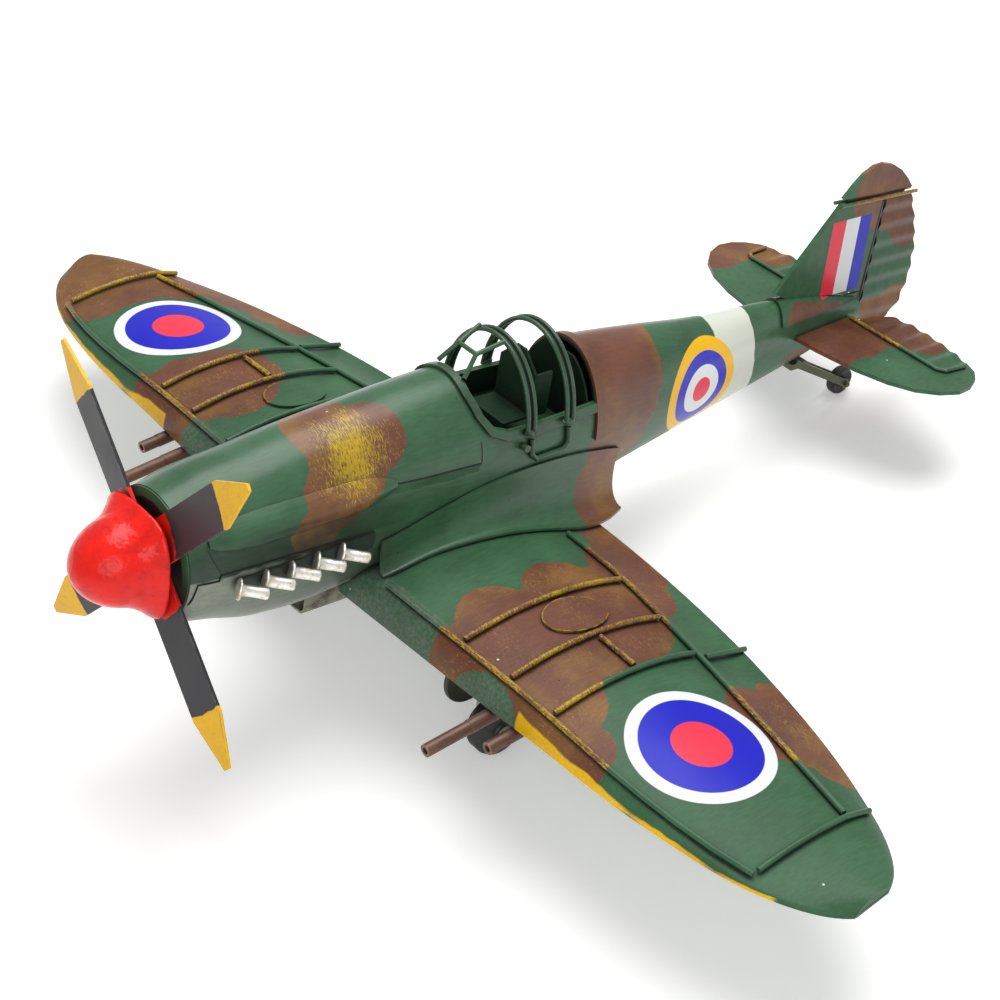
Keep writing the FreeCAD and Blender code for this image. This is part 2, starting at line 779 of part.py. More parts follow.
aileron_station = outer_rib + 2.0
strap_place = 0.55
strap_y = shoulder(middle_rib) + (rear_line(middle_rib) - shoulder(middle_rib)) * strap_place
rib_wires = Part.makeCompound([
    rib_wire(inner_rib), rib_wire(middle_rib), rib_wire(outer_rib),
    wire_on_wing((middle_rib + clear, strap_y), (outer_rib - clear, strap_y), 3),
    wire_on_wing((aileron_station, rear_line(aileron_station) + clear),
                 (aileron_station, wing_trail(aileron_station) + 0.5), 3)])

cannon_radius = size("cannon_radius")
sleeve_radius = cannon_radius * 1.08
CANNON_ROOT = 3.0


def cannon(span_x, reach_ahead):
    """A drooping barrel held under the leading edge, with a slightly thicker sleeve at its root."""
    droop_angle = math.radians(size("cannon_droop_degrees"))
    forward = Vector(0, -math.cos(droop_angle), -math.sin(droop_angle))
    below = sleeve_radius / math.cos(droop_angle) + gap
    root = Vector(span_x, wing_lead(span_x), lead_height(span_x) - below)
    root = root - forward * CANNON_ROOT + Z_AXIS * -CANNON_ROOT * math.sin(droop_angle)
    sleeve = Part.makeCylinder(sleeve_radius, reach_ahead * 0.3 + CANNON_ROOT, root, forward)
    barrel = Part.makeCylinder(cannon_radius, reach_ahead + CANNON_ROOT, root, forward)
    muzzle_seat = root + forward * (reach_ahead + CANNON_ROOT - 3)
    muzzle = Part.makeCylinder(cannon_radius * 0.55, 4, muzzle_seat, forward)
    return sleeve.fuse(barrel).cut(muzzle).removeSplitter()


cannons = Part.makeCompound([cannon(size("cannon_inner"), size("cannon_long")),
                             cannon(size("cannon_outer"), size("cannon_short"))])

# ---------------------------------------------------------------------------------------------
# Cowl fittings: rocker cover blisters, exhaust plates and exhaust stubs
# ---------------------------------------------------------------------------------------------
BLISTER_START = 9.0
BLISTER_END = 70.0
BLISTER_HEIGHT = 12.5
BLISTER_SLOPE = 0.03


def blister_section(along_y, share):
    """D-shaped section on the cowl flank; share swells it along its length."""
    middle = BLISTER_HEIGHT + BLISTER_SLOPE * (along_y - BLISTER_START)
    tall = 4.4 * max(share, 0.25)
    proud = 2.0 * max(share, 0.15)
    inside = [Vector(skin_x(along_y, middle + tall * shift, gap), along_y, middle + tall * shift)
              for shift in (1.0, 0.5, 0.0, -0.5, -1.0)]
    outside = [Vector(skin_x(along_y, middle + tall * shift, gap) + 0.4 + proud * (1 - shift ** 2), along_y,
                      middle + tall * shift) for shift in (1.0, 0.5, 0.0, -0.5, -1.0)]
    return strip_section(outside, inside)


BLISTER_SWELL = [(0, 0.0), (0.12, 0.8), (0.35, 1.0), (0.65, 1.0), (0.88, 0.8), (1, 0.0)]
blister_length = BLISTER_END - BLISTER_START
blister = Part.makeLoft([blister_section(BLISTER_START + blister_length * along, share)
                         for along, share in BLISTER_SWELL], True, False)

EXHAUST_START = 15.3
EXHAUST_HEIGHT = -0.4
EXHAUST_SLOPE = 0.03
PLATE_TALL = 2.6
plate_start = EXHAUST_START + 2.0
plate_end = EXHAUST_START + 5 * size("exhaust_pitch") + 5.0


def plate_section(along_y):
    middle = EXHAUST_HEIGHT + EXHAUST_SLOPE * (along_y - plate_start) - 1.6
    rows = []
    for lift in (gap + 1.0, gap):
        heights = [middle + PLATE_TALL * shift for shift in (1.0, 0.5, 0.0, -0.5, -1.0)]
        rows.append([Vector(skin_x(along_y, height, lift), along_y, height) for height in heights])
    return strip_section(*rows)


exhaust_plate = Part.makeLoft([plate_section(plate_start + (plate_end - plate_start) * share)
                               for share in (0, 0.25, 0.5, 0.75, 1)], True, False)


def exhaust_stub(number):
    """A flat-headed rivet lying along the cowl, head forward, seated on the plate."""
    shank = size("exhaust_shank")
    head_y = EXHAUST_START + number * size("exhaust_pitch")
    height = EXHAUST_HEIGHT + EXHAUST_SLOPE * number * size("exhaust_pitch")
    tail_y = head_y + size("exhaust_length")
    seat_x = max(skin_x(along_y, height + rise, gap + 1.0)
                 for along_y in (head_y, tail_y) for rise in (-3, 0))
    centre = Vector(seat_x + shank + gap, head_y, height)
    slant = math.radians(size("exhaust_slant_degrees"))
    direction = Vector(0.0, math.cos(slant), -math.sin(slant))
    rod = Part.makeCylinder(shank, size("exhaust_length"), centre, direction)
    head = Part.makeCylinder(size("exhaust_head"), 0.9, centre, direction)
    outer_side = Part.makeBox(20, 200, 200, Vector(seat_x + gap * 0.5, -100, -100))
    return rod.fuse(head).common(outer_side)


exhaust_stubs = Part.makeCompound([exhaust_stub(number) for number in range(5)])

# ---------------------------------------------------------------------------------------------
# Main undercarriage: leg with its axle, round door, and the fixed pieces that carry them
# ---------------------------------------------------------------------------------------------
track = size("wheel_track_half")
wheel_y = size("wheel_aft")
wheel_z = size("wheel_height")
leg_radius = size("leg_radius")
tyre_half = size("tyre_width") / 2
leg_x = track - tyre_half - size("wheel_side_gap") - leg_radius
cap_thickness = 1.0


def underside(span_x, along_y):
    """Height of the bottom sheet's lower face."""
    front, *_, rear = bottom_profile(span_x, 0.0)
    return front.z + (rear.z - front.z) * (along_y - front.y) / (rear.y - front.y)


leg_top = underside(leg_x, wheel_y - 2.4) - gap
leg_start = Vector(leg_x, wheel_y - 2.4, leg_top)
leg_end = Vector(leg_x, wheel_y, wheel_z)
leg_line = leg_end - leg_start
leg = Part.makeCylinder(leg_radius, leg_line.Length, leg_start, leg_line)
foot_plate = Part.makeBox(6, 9, tin, Vector(leg_x - 1.4, wheel_y - 7, leg_top - 1.3))
axle_end = track + tyre_half + size("wheel_side_gap")
axle = Part.makeCylinder(size("axle_radius"), axle_end - leg_x + 0.5, Vector(leg_x, wheel_y, wheel_z), X_AXIS)
cap = Part.makeCylinder(size("axle_radius") * 1.7, cap_thickness, Vector(axle_end, wheel_y, wheel_z), X_AXIS)
elbow = Part.makeSphere(leg_radius, Vector(leg_x, wheel_y, wheel_z))
above_wheel = Part.makeBox(200, 200, 200, Vector(-100, -20, leg_top - 200))
leg = leg.fuse([foot_plate, elbow, axle, cap]).common(above_wheel).removeSplitter()

DOOR_THICKNESS = 1.6
DOOR_AHEAD = 4.3
DOOR_DROP = 3.4
door_centre = Vector(leg_x - leg_radius - gap - DOOR_THICKNESS, wheel_y - DOOR_AHEAD,
                     leg_top - size("door_radius") - DOOR_DROP)
gear_door = Part.makeCylinder(size("door_radius"), DOOR_THICKNESS, door_centre, X_AXIS)
gear_door = gear_door.makeFillet(0.5, gear_door.Edges)

PORT_SHAPES = {
    "wing_top_sheet": top_sheet,
    "wing_bottom_sheet": bottom_sheet,
    "root_fairing": fairing,
    "spar_wires": spar_wires,
    "rib_wires": rib_wires,
    "cannon_barrels": cannons,
    "cowl_blister": blister,
    "exhaust_stubs": exhaust_stubs,
    "gear_leg": leg,
    "gear_door": gear_door,
}
for name, shape in PORT_SHAPES.items():
    for side_name, side in SIDES.items():
        keep_shape(mirrored(shape, side), "%s_%s" % (side_name, name))


def both_sides(shape):
    """A port shape and its mirror image as one group of separate solids."""
    return Part.makeCompound([mirrored(shape, side) for side in SIDES.values()])


keep_shape(both_sides(oval_plate), "wing_oval_plates")
keep_shape(both_sides(exhaust_plate), "exhaust_plates")

# ---------------------------------------------------------------------------------------------
# Chin scoop: a U of tin under the cowl with an eared rear tab
# ---------------------------------------------------------------------------------------------
SCOOP_START = 52.0
scoop_half = size("scoop_half_width")
scoop_end = SCOOP_START + size("scoop_length")
scoop_floor = min(keel(SCOOP_START), keel(scoop_end)) - size("scoop_depth")
scoop_block = Part.makeBox(2 * scoop_half, size("scoop_length"), 30,
                           Vector(-scoop_half, SCOOP_START, scoop_floor))
low_edges = [edge for edge in scoop_block.Edges
             if edge.BoundBox.ZMax < scoop_floor + 0.1 and edge.BoundBox.YLength > 1]
scoop_block = scoop_block.makeFillet(3.0, low_edges)
scoop_hollow = Part.makeBox(2 * (scoop_half - tin), size("scoop_length") + 2, 30,
                            Vector(-scoop_half + tin, SCOOP_START - 1, scoop_floor + tin))
hollow_edges = [edge for edge in scoop_hollow.Edges
                if edge.BoundBox.ZMax < scoop_floor + tin + 0.1 and edge.BoundBox.YLength > 1]
scoop_hollow = scoop_hollow.makeFillet(3.0 - tin, hollow_edges)
nose_clear = fuselage_solid(gap, 30, 90)
under_nose = Part.makeBox(80, 200, 60, Vector(-40, 0, -60 + keel(SCOOP_START) / 2))
scoop = scoop_block.cut(scoop_hollow).cut(nose_clear).common(under_nose)
ear = Part.makeBox(2 * 4.0, 5.0, tin, Vector(-4.0, scoop_end - 0.5, scoop_floor))
ear_round = Part.makeCylinder(4.0, tin, Vector(0, scoop_end + 4.5, scoop_floor), Z_AXIS)
ear_hole = Part.makeCylinder(1.3, 4, Vector(0, scoop_end + 5.0, scoop_floor - 1), Z_AXIS)
keep_shape(scoop.fuse([ear, ear_round]).cut(ear_hole).removeSplitter(), "chin_scoop")

# ---------------------------------------------------------------------------------------------
# Tail: fin, rudder, tailplanes, elevators and their wires
# ---------------------------------------------------------------------------------------------
# The tail's outlines are drawn at the form's own length and move with the end of the fuselage.
tail_move = length - FORM_LENGTH


def moved_side(outline):
    """A side view outline of the tail as (aft, up) corners, moved with the fuselage's end."""
    return [(aft + tail_move, up) for aft, up in outline]


def moved_plan(outline):
    """A plan view outline of the tail as (across, aft) corners, moved with the fuselage's end."""
    return [(across, aft + tail_move) for across, aft in outline]


RUDDER_GAP = 2.0
drawn_hinge = size("rudder_hinge")
hinge_y = drawn_hinge + tail_move
fin_rear = drawn_hinge - gap
rudder_front = drawn_hinge + RUDDER_GAP
FIN_OUTLINE = [(237.0, 27.2), (260.4, 54.6), (fin_rear, 53.4), (fin_rear, 19.0), (244.0, 23.6)]
RUDDER_OUTLINE = [(rudder_front, 52.2), (295.6, 52.0), (300.6, 42.0), (304.4, 31.0), (305.4, 20.0),
                  (303.6, 10.5), (299.0, 5.0), (292.0, 3.6), (rudder_front, 7.6)]
CAP_OUTLINE = [(260.6, 56.4), (264.4, 60.6), (268.4, 64.0), (272.6, 65.9), (277.0, 66.2), (282.0, 65.0),
               (287.0, 62.2), (291.4, 58.4), (294.6, 54.9), (277.0, 55.4)]


def ridged_sheet(base, end, along, across, thickness):
    """A wide sheet with parallel ridges square to the along direction, rising and falling across it."""
    pitch = size("ridge_pitch")
    height = size("ridge_height")
    count = max(2, math.ceil(end / (pitch / 2)))
    rows = []
    for lift in (thickness / 2, -thickness / 2):
        rows.append([base + along * (end * number / count)
                     + across * (height / 2 * (1 if number % 2 else -1) + lift)
                     for number in range(count + 1)])
    third = along.cross(across)
    wave = Part.Face(strip_section(*rows)).extrude(third * 1000)
    wave.translate(third * -500)
    return wave


fin_half = size("fin_thickness") / 2
fin = side_prism(moved_side(FIN_OUTLINE), fin_half)
cap_plate = side_prism(moved_side(CAP_OUTLINE), fin_half)
cone_clear_start = 225.0 + tail_move
tail_clear = fuselage_solid(gap, cone_clear_start, length)
SADDLE_START = 238.0
SADDLE_FOOT = 17.2
saddle_start = SADDLE_START + tail_move
saddle_layer = fuselage_solid(gap + tin, saddle_start, hinge_y - 2.5)
saddle_layer = saddle_layer.cut(fuselage_solid(gap, saddle_start - 1, hinge_y - 1.5))
saddle_top = Part.makeBox(80, 80, 60, Vector(-40, saddle_start - 18, SADDLE_FOOT))
saddle = saddle_layer.common(saddle_top)
fin_solid = fin.cut(tail_clear).fuse(saddle)
fin_solid = largest(fin_solid.removeSplitter())
keep_shape(fin_solid, "fin")
keep_shape(cap_plate, "fin_cap_plate")

rudder_wave = ridged_sheet(Vector(0, 0, 0), 60.0, Z_AXIS, X_AXIS, 1.0)
rudder = largest(rudder_wave.common(side_prism(moved_side(RUDDER_OUTLINE), 5)))
keep_shape(rudder, "rudder")
hinge_wire_top = 52.0
hinge_wire_foot = crown(length) + 0.6
hinge_wire = rod_along([Vector(0, hinge_y + wire_radius + 0.1, hinge_wire_foot),
                        Vector(0, hinge_y + wire_radius + 0.1, hinge_wire_top)], wire_radius * 0.85)
cap_wire_radius = wire_radius * 0.8
cap_wire_x = fin_half + cap_wire_radius + 0.05
CAP_WIRE_ENDS = [(259.0, 54.6), (296.4, 53.4)]
cap_wires = [rod_along([Vector(side * cap_wire_x, aft, up) for aft, up in moved_side(CAP_WIRE_ENDS)],
                       cap_wire_radius) for side in SIDES.values()]
keep_shape(Part.makeCompound([hinge_wire] + cap_wires), "fin_wires")

tail_z = size("tailplane_height")
tail_span = size("tailplane_half_span")
drawn_elevator = size("elevator_hinge")
elevator_y = drawn_elevator + tail_move
TAIL_PLATE = 1.4
TAIL_ROOT_FRONT = 247.0


def tail_root(drawn_y):
    """Half breadth where the tailplane meets the fuselage, at a place drawn at the form's own length."""
    return skin_x(drawn_y + tail_move, tail_z) + gap + 0.1


TAILPLANE_OUTLINE = [(tail_root(TAIL_ROOT_FRONT), TAIL_ROOT_FRONT - 0.6),
                     (0.26 * tail_span, 247.0), (0.53 * tail_span, 249.6), (0.72 * tail_span, 253.2),
                     (0.86 * tail_span, 258.0), (0.95 * tail_span, 264.0),
                     (tail_span, 271.0), (0.99 * tail_span, 277.0), (0.95 * tail_span, 281.8),
                     (0.885 * tail_span, 285.7), (0.80 * tail_span, 287.6),
                     (0.80 * tail_span, drawn_elevator), (tail_root(drawn_elevator), drawn_elevator)]
ELEVATOR_OUTLINE = [(6.0, drawn_elevator + gap), (0.80 * tail_span - gap, drawn_elevator + gap),
                    (0.80 * tail_span - gap, 287.8), (0.68 * tail_span, 289.6), (0.50 * tail_span, 291.0),
                    (0.32 * tail_span, 291.3), (0.20 * tail_span, 290.0), (6.0, 284.0)]


def flat_prism(outline, low, high):
    return prism([Vector(across, along, low) for across, along in outline], Vector(0, 0, high - low))


tailplane = flat_prism(moved_plan(TAILPLANE_OUTLINE), tail_z - TAIL_PLATE / 2, tail_z + TAIL_PLATE / 2)
tailplane = largest(tailplane.cut(tail_clear))
elevator_wave = ridged_sheet(Vector(0, 0, tail_z), 70.0, X_AXIS, Z_AXIS, 0.9)
elevator = largest(elevator_wave.common(flat_prism(moved_plan(ELEVATOR_OUTLINE), tail_z - 5, tail_z + 5)))
wire_z = tail_z + TAIL_PLATE / 2 + wire_radius * 0.8 + gap / 2
WIRE_AHEAD = 1.2
wire_y = elevator_y - WIRE_AHEAD
wire_end = 0.80 * tail_span
wire_root = tail_root(drawn_elevator - WIRE_AHEAD) + 1.6
wire_tail = 284.5 + tail_move
elevator_wire = rod_along([Vector(wire_root, wire_y, wire_z), Vector(wire_end - 2, wire_y, wire_z),
                           Vector(wire_end + 0.6, wire_y + 2, wire_z),
                           Vector(wire_end + 1.4, wire_tail, wire_z)],
                          wire_radius * 0.8)
for side_name, side in SIDES.items():
    keep_shape(mirrored(tailplane, side), side_name + "_tailplane")
    keep_shape(mirrored(elevator, side), side_name + "_elevator")

keep_shape(both_sides(elevator_wire), "elevator_wires")

# Tail wheel fork: two flat arms from the end of the fuselage to the axle
tail_y = size("tail_wheel_aft") + tail_move
tail_wheel_z = size("tail_wheel_height")
arm_gap = size("tail_tyre_width") / 2 + size("wheel_side_gap")
arm_thickness = 1.0
fork_root = 253.0 + tail_move
arm_root = Vector(0, fork_root, keel(fork_root) - 0.2)
arm_half = 1.3
arm_line = Vector(0, tail_y, tail_wheel_z) - arm_root
arm_side = Vector(0, -arm_line.z, arm_line.y).normalize() * arm_half
arms = []
for side in SIDES.values():
    start_x = side * arm_gap if side > 0 else side * arm_gap - arm_thickness
    outline = [Vector(start_x, 0, 0) + arm_root + arm_side, Vector(start_x, tail_y, tail_wheel_z) + arm_side,
               Vector(start_x, tail_y, tail_wheel_z) - arm_side, Vector(start_x, 0, 0) + arm_root - arm_side]
    arm = prism(outline, Vector(arm_thickness, 0, 0))
    eye = Part.makeCylinder(arm_half + 0.5, arm_thickness, Vector(start_x, tail_y, tail_wheel_z), X_AXIS)
    arms.append(arm.fuse(eye))
bridge = Part.makeBox(2 * arm_gap + 2 * arm_thickness, 7.0, 2.2,
                      Vector(-arm_gap - arm_thickness, fork_root - 2.0, keel(fork_root) - 2.4))
tail_axle = Part.makeCylinder(size("tail_axle_radius"), 2 * arm_gap + 2 * arm_thickness + 2.4,
                              Vector(-arm_gap - arm_thickness - 1.2, tail_y, tail_wheel_z), X_AXIS)
fork = bridge.fuse(arms + [tail_axle]).cut(fuselage_solid(gap, cone_clear_start, length - 6.0))
keep_shape(largest(fork.removeSplitter()), "tail_wheel_fork")

# ---------------------------------------------------------------------------------------------
# Turned pieces: nose ring, spinner, shaft, collar, wheels
# ---------------------------------------------------------------------------------------------
thrust_line = Placement(Vector(0, 0, size("thrust_height")), Rotation(X_AXIS, 90))
nose_face = -cell("nose_face")
shaft = cell("shaft_radius")
shaft_bore = shaft + cell("running_gap")
ring_radius = cell("nose_radius") - cell("tin_sheet") - cell("seam_gap")
ring_front = nose_face + 0.6
ring_back = nose_face - 1.8
ring_boss = nose_face - 6.0
ring_lip = ring_radius + 0.7
ring_hub = as_size(5.0)
nose_ring = turned_body("nose_ring", [
    (shaft_bore, ring_boss), (ring_hub, ring_boss), (ring_hub, ring_back), (ring_radius, ring_back),
    (ring_radius, nose_face), (ring_lip, nose_face), (ring_lip, ring_front), (shaft_bore, ring_front)])
keep(nose_ring, "nose_ring", thrust_line)

boss = cell("boss_radius")
dome_base = cell("dome_base")
flange = cell("flange_radius")
flange_back = dome_base - 3.0
hub_bore = shaft + cell("press_gap")
keep(turned_body("spinner_flange", [
    (hub_bore, flange_back), (flange, flange_back), (flange, flange_back + 0.6),
    (flange - 2.4, flange_back + 1.0), (flange - 4.6, flange_back + 1.9), (cell("dome_radius"), dome_base),
    (hub_bore, dome_base)]), "spinner_flange", thrust_line)

DOME_STEPS = 9


def dome_arc(wall):
    """Corners of the dome's half-ellipse, drawn in by the wall, from its base to its tip."""
    corners = []
    for step in range(DOME_STEPS + 1):
        turn = math.pi / 2 * step / DOME_STEPS
        across = (cell("dome_radius") - wall) * math.cos(turn) if step < DOME_STEPS else as_size(0)
        corners.append((across, dome_base + cell("seam_gap") + (cell("dome_length") - wall) * math.sin(turn)))
    return corners


dome = turned_body("spinner_dome", dome_arc(as_size(0)) + dome_arc(cell("tin_sheet"))[::-1])
keep(dome, "spinner_dome", thrust_line)

boss_back = ring_front + 0.3
shaft_back = ring_boss - 3.5
shaft_front = dome_base + 3.0
keep(turned_body("propeller_shaft", [
    (0, shaft_back), (shaft, shaft_back), (shaft, boss_back), (boss, boss_back), (boss, flange_back - 0.1),
    (shaft, flange_back - 0.1), (shaft, shaft_front), (0, shaft_front)]), "propeller_shaft", thrust_line)
collar_front = ring_boss - 0.3
collar_back = collar_front - 2.2
keep(turned_body("shaft_collar", [
    (hub_bore, collar_back), (boss, collar_back), (boss, collar_front), (hub_bore, collar_front)]),
    "shaft_collar", thrust_line)


def blade_place(index):
    """Blade seat: turned round the thrust line, then pitched about the blade's own length."""
    setting = size("blade_setting_degrees") + 90 * index
    around = Rotation(Y_AXIS, -setting)
    pitch = Rotation(X_AXIS, -size("blade_pitch_degrees"))
    seat = Vector(0, size("blade_plane"), size("thrust_height"))
    return Placement(seat, around.multiply(pitch))


TIP_LENGTH = 15.0
blade_half = cell("blade_width") / 2
blade_root = boss + 0.2
blade_neck = blade_root + 4.6
blade_end = cell("propeller_radius")
tip_start = blade_end - TIP_LENGTH
for index in range(4):
    blade = sheet_body("blade_%d" % (index + 1), "XY_Plane", [
        (blade_root, -blade_half * 0.3), (blade_neck, -blade_half), (tip_start, -blade_half),
        (blade_end, -blade_half * 0.16), (blade_end, blade_half * 0.16), (tip_start, blade_half),
        (blade_neck, blade_half), (blade_root, blade_half * 0.3)], cell("blade_thickness"))
    flat_to_disc = Placement(Vector(0, 0, 0), Rotation(X_AXIS, 90))
    keep(blade, "blade_%d" % (index + 1), blade_place(index).multiply(flat_to_disc))


def wheel(prefix, radius, width, hub, axle_size, centre):
    """Tyre and hub of one wheel, turned about the wheel's own axis."""
    half = width / 2
    edge = width * 0.16
    tyre = turned_body(prefix + "_tyre", [
        (hub, -half + 0.5), (radius - edge * 1.6, -half), (radius - edge * 0.5, -half + edge * 0.6),
        (radius, -half + edge * 1.7), (radius, half - edge * 1.7), (radius - edge * 0.5, half - edge * 0.6),
        (radius - edge * 1.6, half), (hub, half - 0.5)])
    bore = axle_size + cell("running_gap")
    centre_disc = turned_body(prefix + "_hub", [
        (bore, -half), (hub * 0.62, -half), (hub * 0.72, -half + 0.6), (hub, -half + 0.6),
        (hub, half - 0.6), (hub * 0.72, half - 0.6), (hub * 0.62, half), (bore, half)])
    place = Placement(centre, Rotation(Y_AXIS, 90))
    keep(tyre, prefix + "_tyre", place)
    keep(centre_disc, prefix + "_hub", place)


for side_name, side in SIDES.items():
    wheel(side_name, cell("tyre_radius"), cell("tyre_width"), cell("hub_radius"), cell("axle_radius"),
          Vector(side * track, wheel_y, wheel_z))
wheel("tail", cell("tail_tyre_radius"), cell("tail_tyre_width"), cell("tail_hub_radius"),
      cell("tail_axle_radius"), Vector(0, tail_y, tail_wheel_z))

# ---------------------------------------------------------------------------------------------
# Sit the model on its three wheels, check every object and write the parts
# ---------------------------------------------------------------------------------------------
doc.recompute()
rise = tail_wheel_z - wheel_z
run = tail_y - wheel_y
radius_step = size("tail_tyre_radius") - size("tyre_radius")
sit_angle = math.atan2(rise, run) - math.asin(radius_step / math.hypot(rise, run))
tipped = Placement(Vector(0, 0, 0), Rotation(X_AXIS, -math.degrees(sit_angle)))
ground = tipped.multVec(Vector(0, wheel_y, wheel_z)).z - size("tyre_radius")
placed = []
for part, place in subparts:
    shape = part.Shape.copy()
    shape.Placement = tipped.multiply(place).multiply(shape.Placement)
    placed.append(shape)
extent = Part.makeCompound(placed).optimalBoundingBox(False)
middle_y = (extent.YMin + extent.YMax) / 2
sit = Placement(Vector(0, -middle_y, -ground), tipped.Rotation)

for part, place in subparts:
    part.Placement = sit.multiply(place)
doc.recompute()

for item in doc.Objects:
    if "Invalid" in item.State or "Error" in item.State:
        raise RuntimeError("%s did not recompute: %s" % (item.Label, item.State))
broken = [part.Label for part, _ in subparts if part.Shape.isNull() or not part.Shape.isValid()]
if broken:
    raise RuntimeError("no valid shape: %s" % ", ".join(broken))
os.makedirs("parts", exist_ok=True)
for part, _ in subparts:
    part.Shape.exportStep("parts/%s.step" % part.Label)
print("sit angle %.2f degrees, middle %.2f, ground %.2f" % (math.degrees(sit_angle), middle_y, ground))
extents = (extent.XLength, extent.YLength, extent.ZLength)
print("%d sub-parts, extent %.1f x %.1f x %.1f" % ((len(subparts),) + extents))
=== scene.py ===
"""Paint, solder, wire and wheels of a hand-made tin fighter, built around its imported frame.

Lengths are metres in the frame's own space. Shapes and paint are laid out in the flight frame instead: X to
the port wing tip, Y aft, Z up, in millimetres, with the model level.
"""
import json
import math
import random

import bmesh
import bpy
from mathutils import Matrix, Vector, noise
from mathutils.bvhtree import BVHTree


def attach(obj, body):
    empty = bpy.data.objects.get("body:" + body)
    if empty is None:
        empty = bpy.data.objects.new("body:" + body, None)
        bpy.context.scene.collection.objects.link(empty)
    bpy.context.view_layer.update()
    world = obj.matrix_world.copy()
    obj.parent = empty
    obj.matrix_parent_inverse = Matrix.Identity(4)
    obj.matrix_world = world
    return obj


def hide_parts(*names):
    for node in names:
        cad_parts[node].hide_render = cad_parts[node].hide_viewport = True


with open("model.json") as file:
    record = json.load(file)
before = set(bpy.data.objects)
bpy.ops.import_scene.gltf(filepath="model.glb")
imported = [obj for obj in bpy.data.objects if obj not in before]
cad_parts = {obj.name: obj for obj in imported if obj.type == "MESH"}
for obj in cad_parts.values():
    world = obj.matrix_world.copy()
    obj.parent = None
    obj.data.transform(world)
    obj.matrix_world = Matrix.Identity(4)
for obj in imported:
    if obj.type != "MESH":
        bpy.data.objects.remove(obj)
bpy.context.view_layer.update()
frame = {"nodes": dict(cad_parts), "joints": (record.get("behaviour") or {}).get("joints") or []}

random.seed(11)
MM = 0.001

# --- The flight frame, read off the propeller's joint ---
spin = next(joint for joint in frame["joints"] if joint["name"] == "propeller_spin")
AFT = Vector(spin["axis"])
UP = Vector((0, -AFT.z, AFT.y))
SIT = math.atan2(-AFT.z, AFT.y)
THRUST_LINE = 2.2
SPIN_POINT = 6.0
ORIGIN = Vector(spin["pos_m"]) - (AFT * SPIN_POINT + UP * THRUST_LINE) * MM


def flight(x, y, z):
    """A point of the flight frame, as a place in the frame."""
    return ORIGIN + (Vector((x, 0, 0)) + AFT * y + UP * z) * MM


def level(point):
    """A place in the frame, as a point of the flight frame."""
    away = (point - ORIGIN) / MM
    return Vector((away.x, away.dot(AFT), away.dot(UP)))


# --- Paints ---
GREEN = (0.042, 0.118, 0.056, 1)
BROWN = (0.150, 0.056, 0.032, 1)
GOLD = (0.52, 0.36, 0.012, 1)
LIME = (0.17, 0.30, 0.010, 1)
GOLD_HAZE = (0.26, 0.135, 0.032, 1)
SKY = (0.36, 0.41, 0.33, 1)
DIRTY_SKY = (0.30, 0.33, 0.26, 1)
BAND = (0.66, 0.69, 0.60, 1)
NOSE_SKY = (0.235, 0.27, 0.205, 1)
FLANK_SHADE = (0.013, 0.024, 0.013, 1)
WHITE = (0.80, 0.82, 0.83, 1)
BLUE = (0.008, 0.011, 0.50, 1)
RED = (0.84, 0.035, 0.075, 1)
YELLOW = (0.90, 0.50, 0.002, 1)
ENAMEL_RED = (0.88, 0.012, 0.006, 1)
CHARCOAL = (0.026, 0.026, 0.030, 1)
SCUFF_BROWN = (0.20, 0.17, 0.14, 1)
BLACK = (0.012, 0.012, 0.012, 1)
# Near-black for soot, pits and dark flecks, and for painted shade in seams
SOOT_AND_SHADE = (0.010, 0.011, 0.009, 1)
DARK_GREEN = (0.022, 0.058, 0.028, 1)
# Cockpit greens, darkened as painted shade of the cockpit well, darkest on the inner walls
SHADED_COCKPIT_GREEN = (0.008, 0.020, 0.010, 1)
SHADED_WALL_GREEN = (0.010, 0.026, 0.013, 1)
SHADED_SEAT_GREEN = (0.016, 0.042, 0.020, 1)
SHADED_FLOOR_GREEN = (0.022, 0.060, 0.030, 1)
FRAME_GREEN = (0.032, 0.090, 0.044, 1)
BRONZE = (0.115, 0.045, 0.030, 1)
OLIVE = (0.030, 0.034, 0.020, 1)
STEEL = (0.52, 0.51, 0.49, 1)
ALUMINIUM = (0.86, 0.85, 0.80, 1)
TARNISH = (0.20, 0.11, 0.035, 1)
STAIN = (0.46, 0.31, 0.10, 1)
RUBBER = (0.014, 0.013, 0.013, 1)
CUFF_GREY = (0.13, 0.16, 0.125, 1)
DRAB = (0.27, 0.27, 0.20, 1)
FLOOR_WHITE = (0.93, 0.93, 0.925, 1)


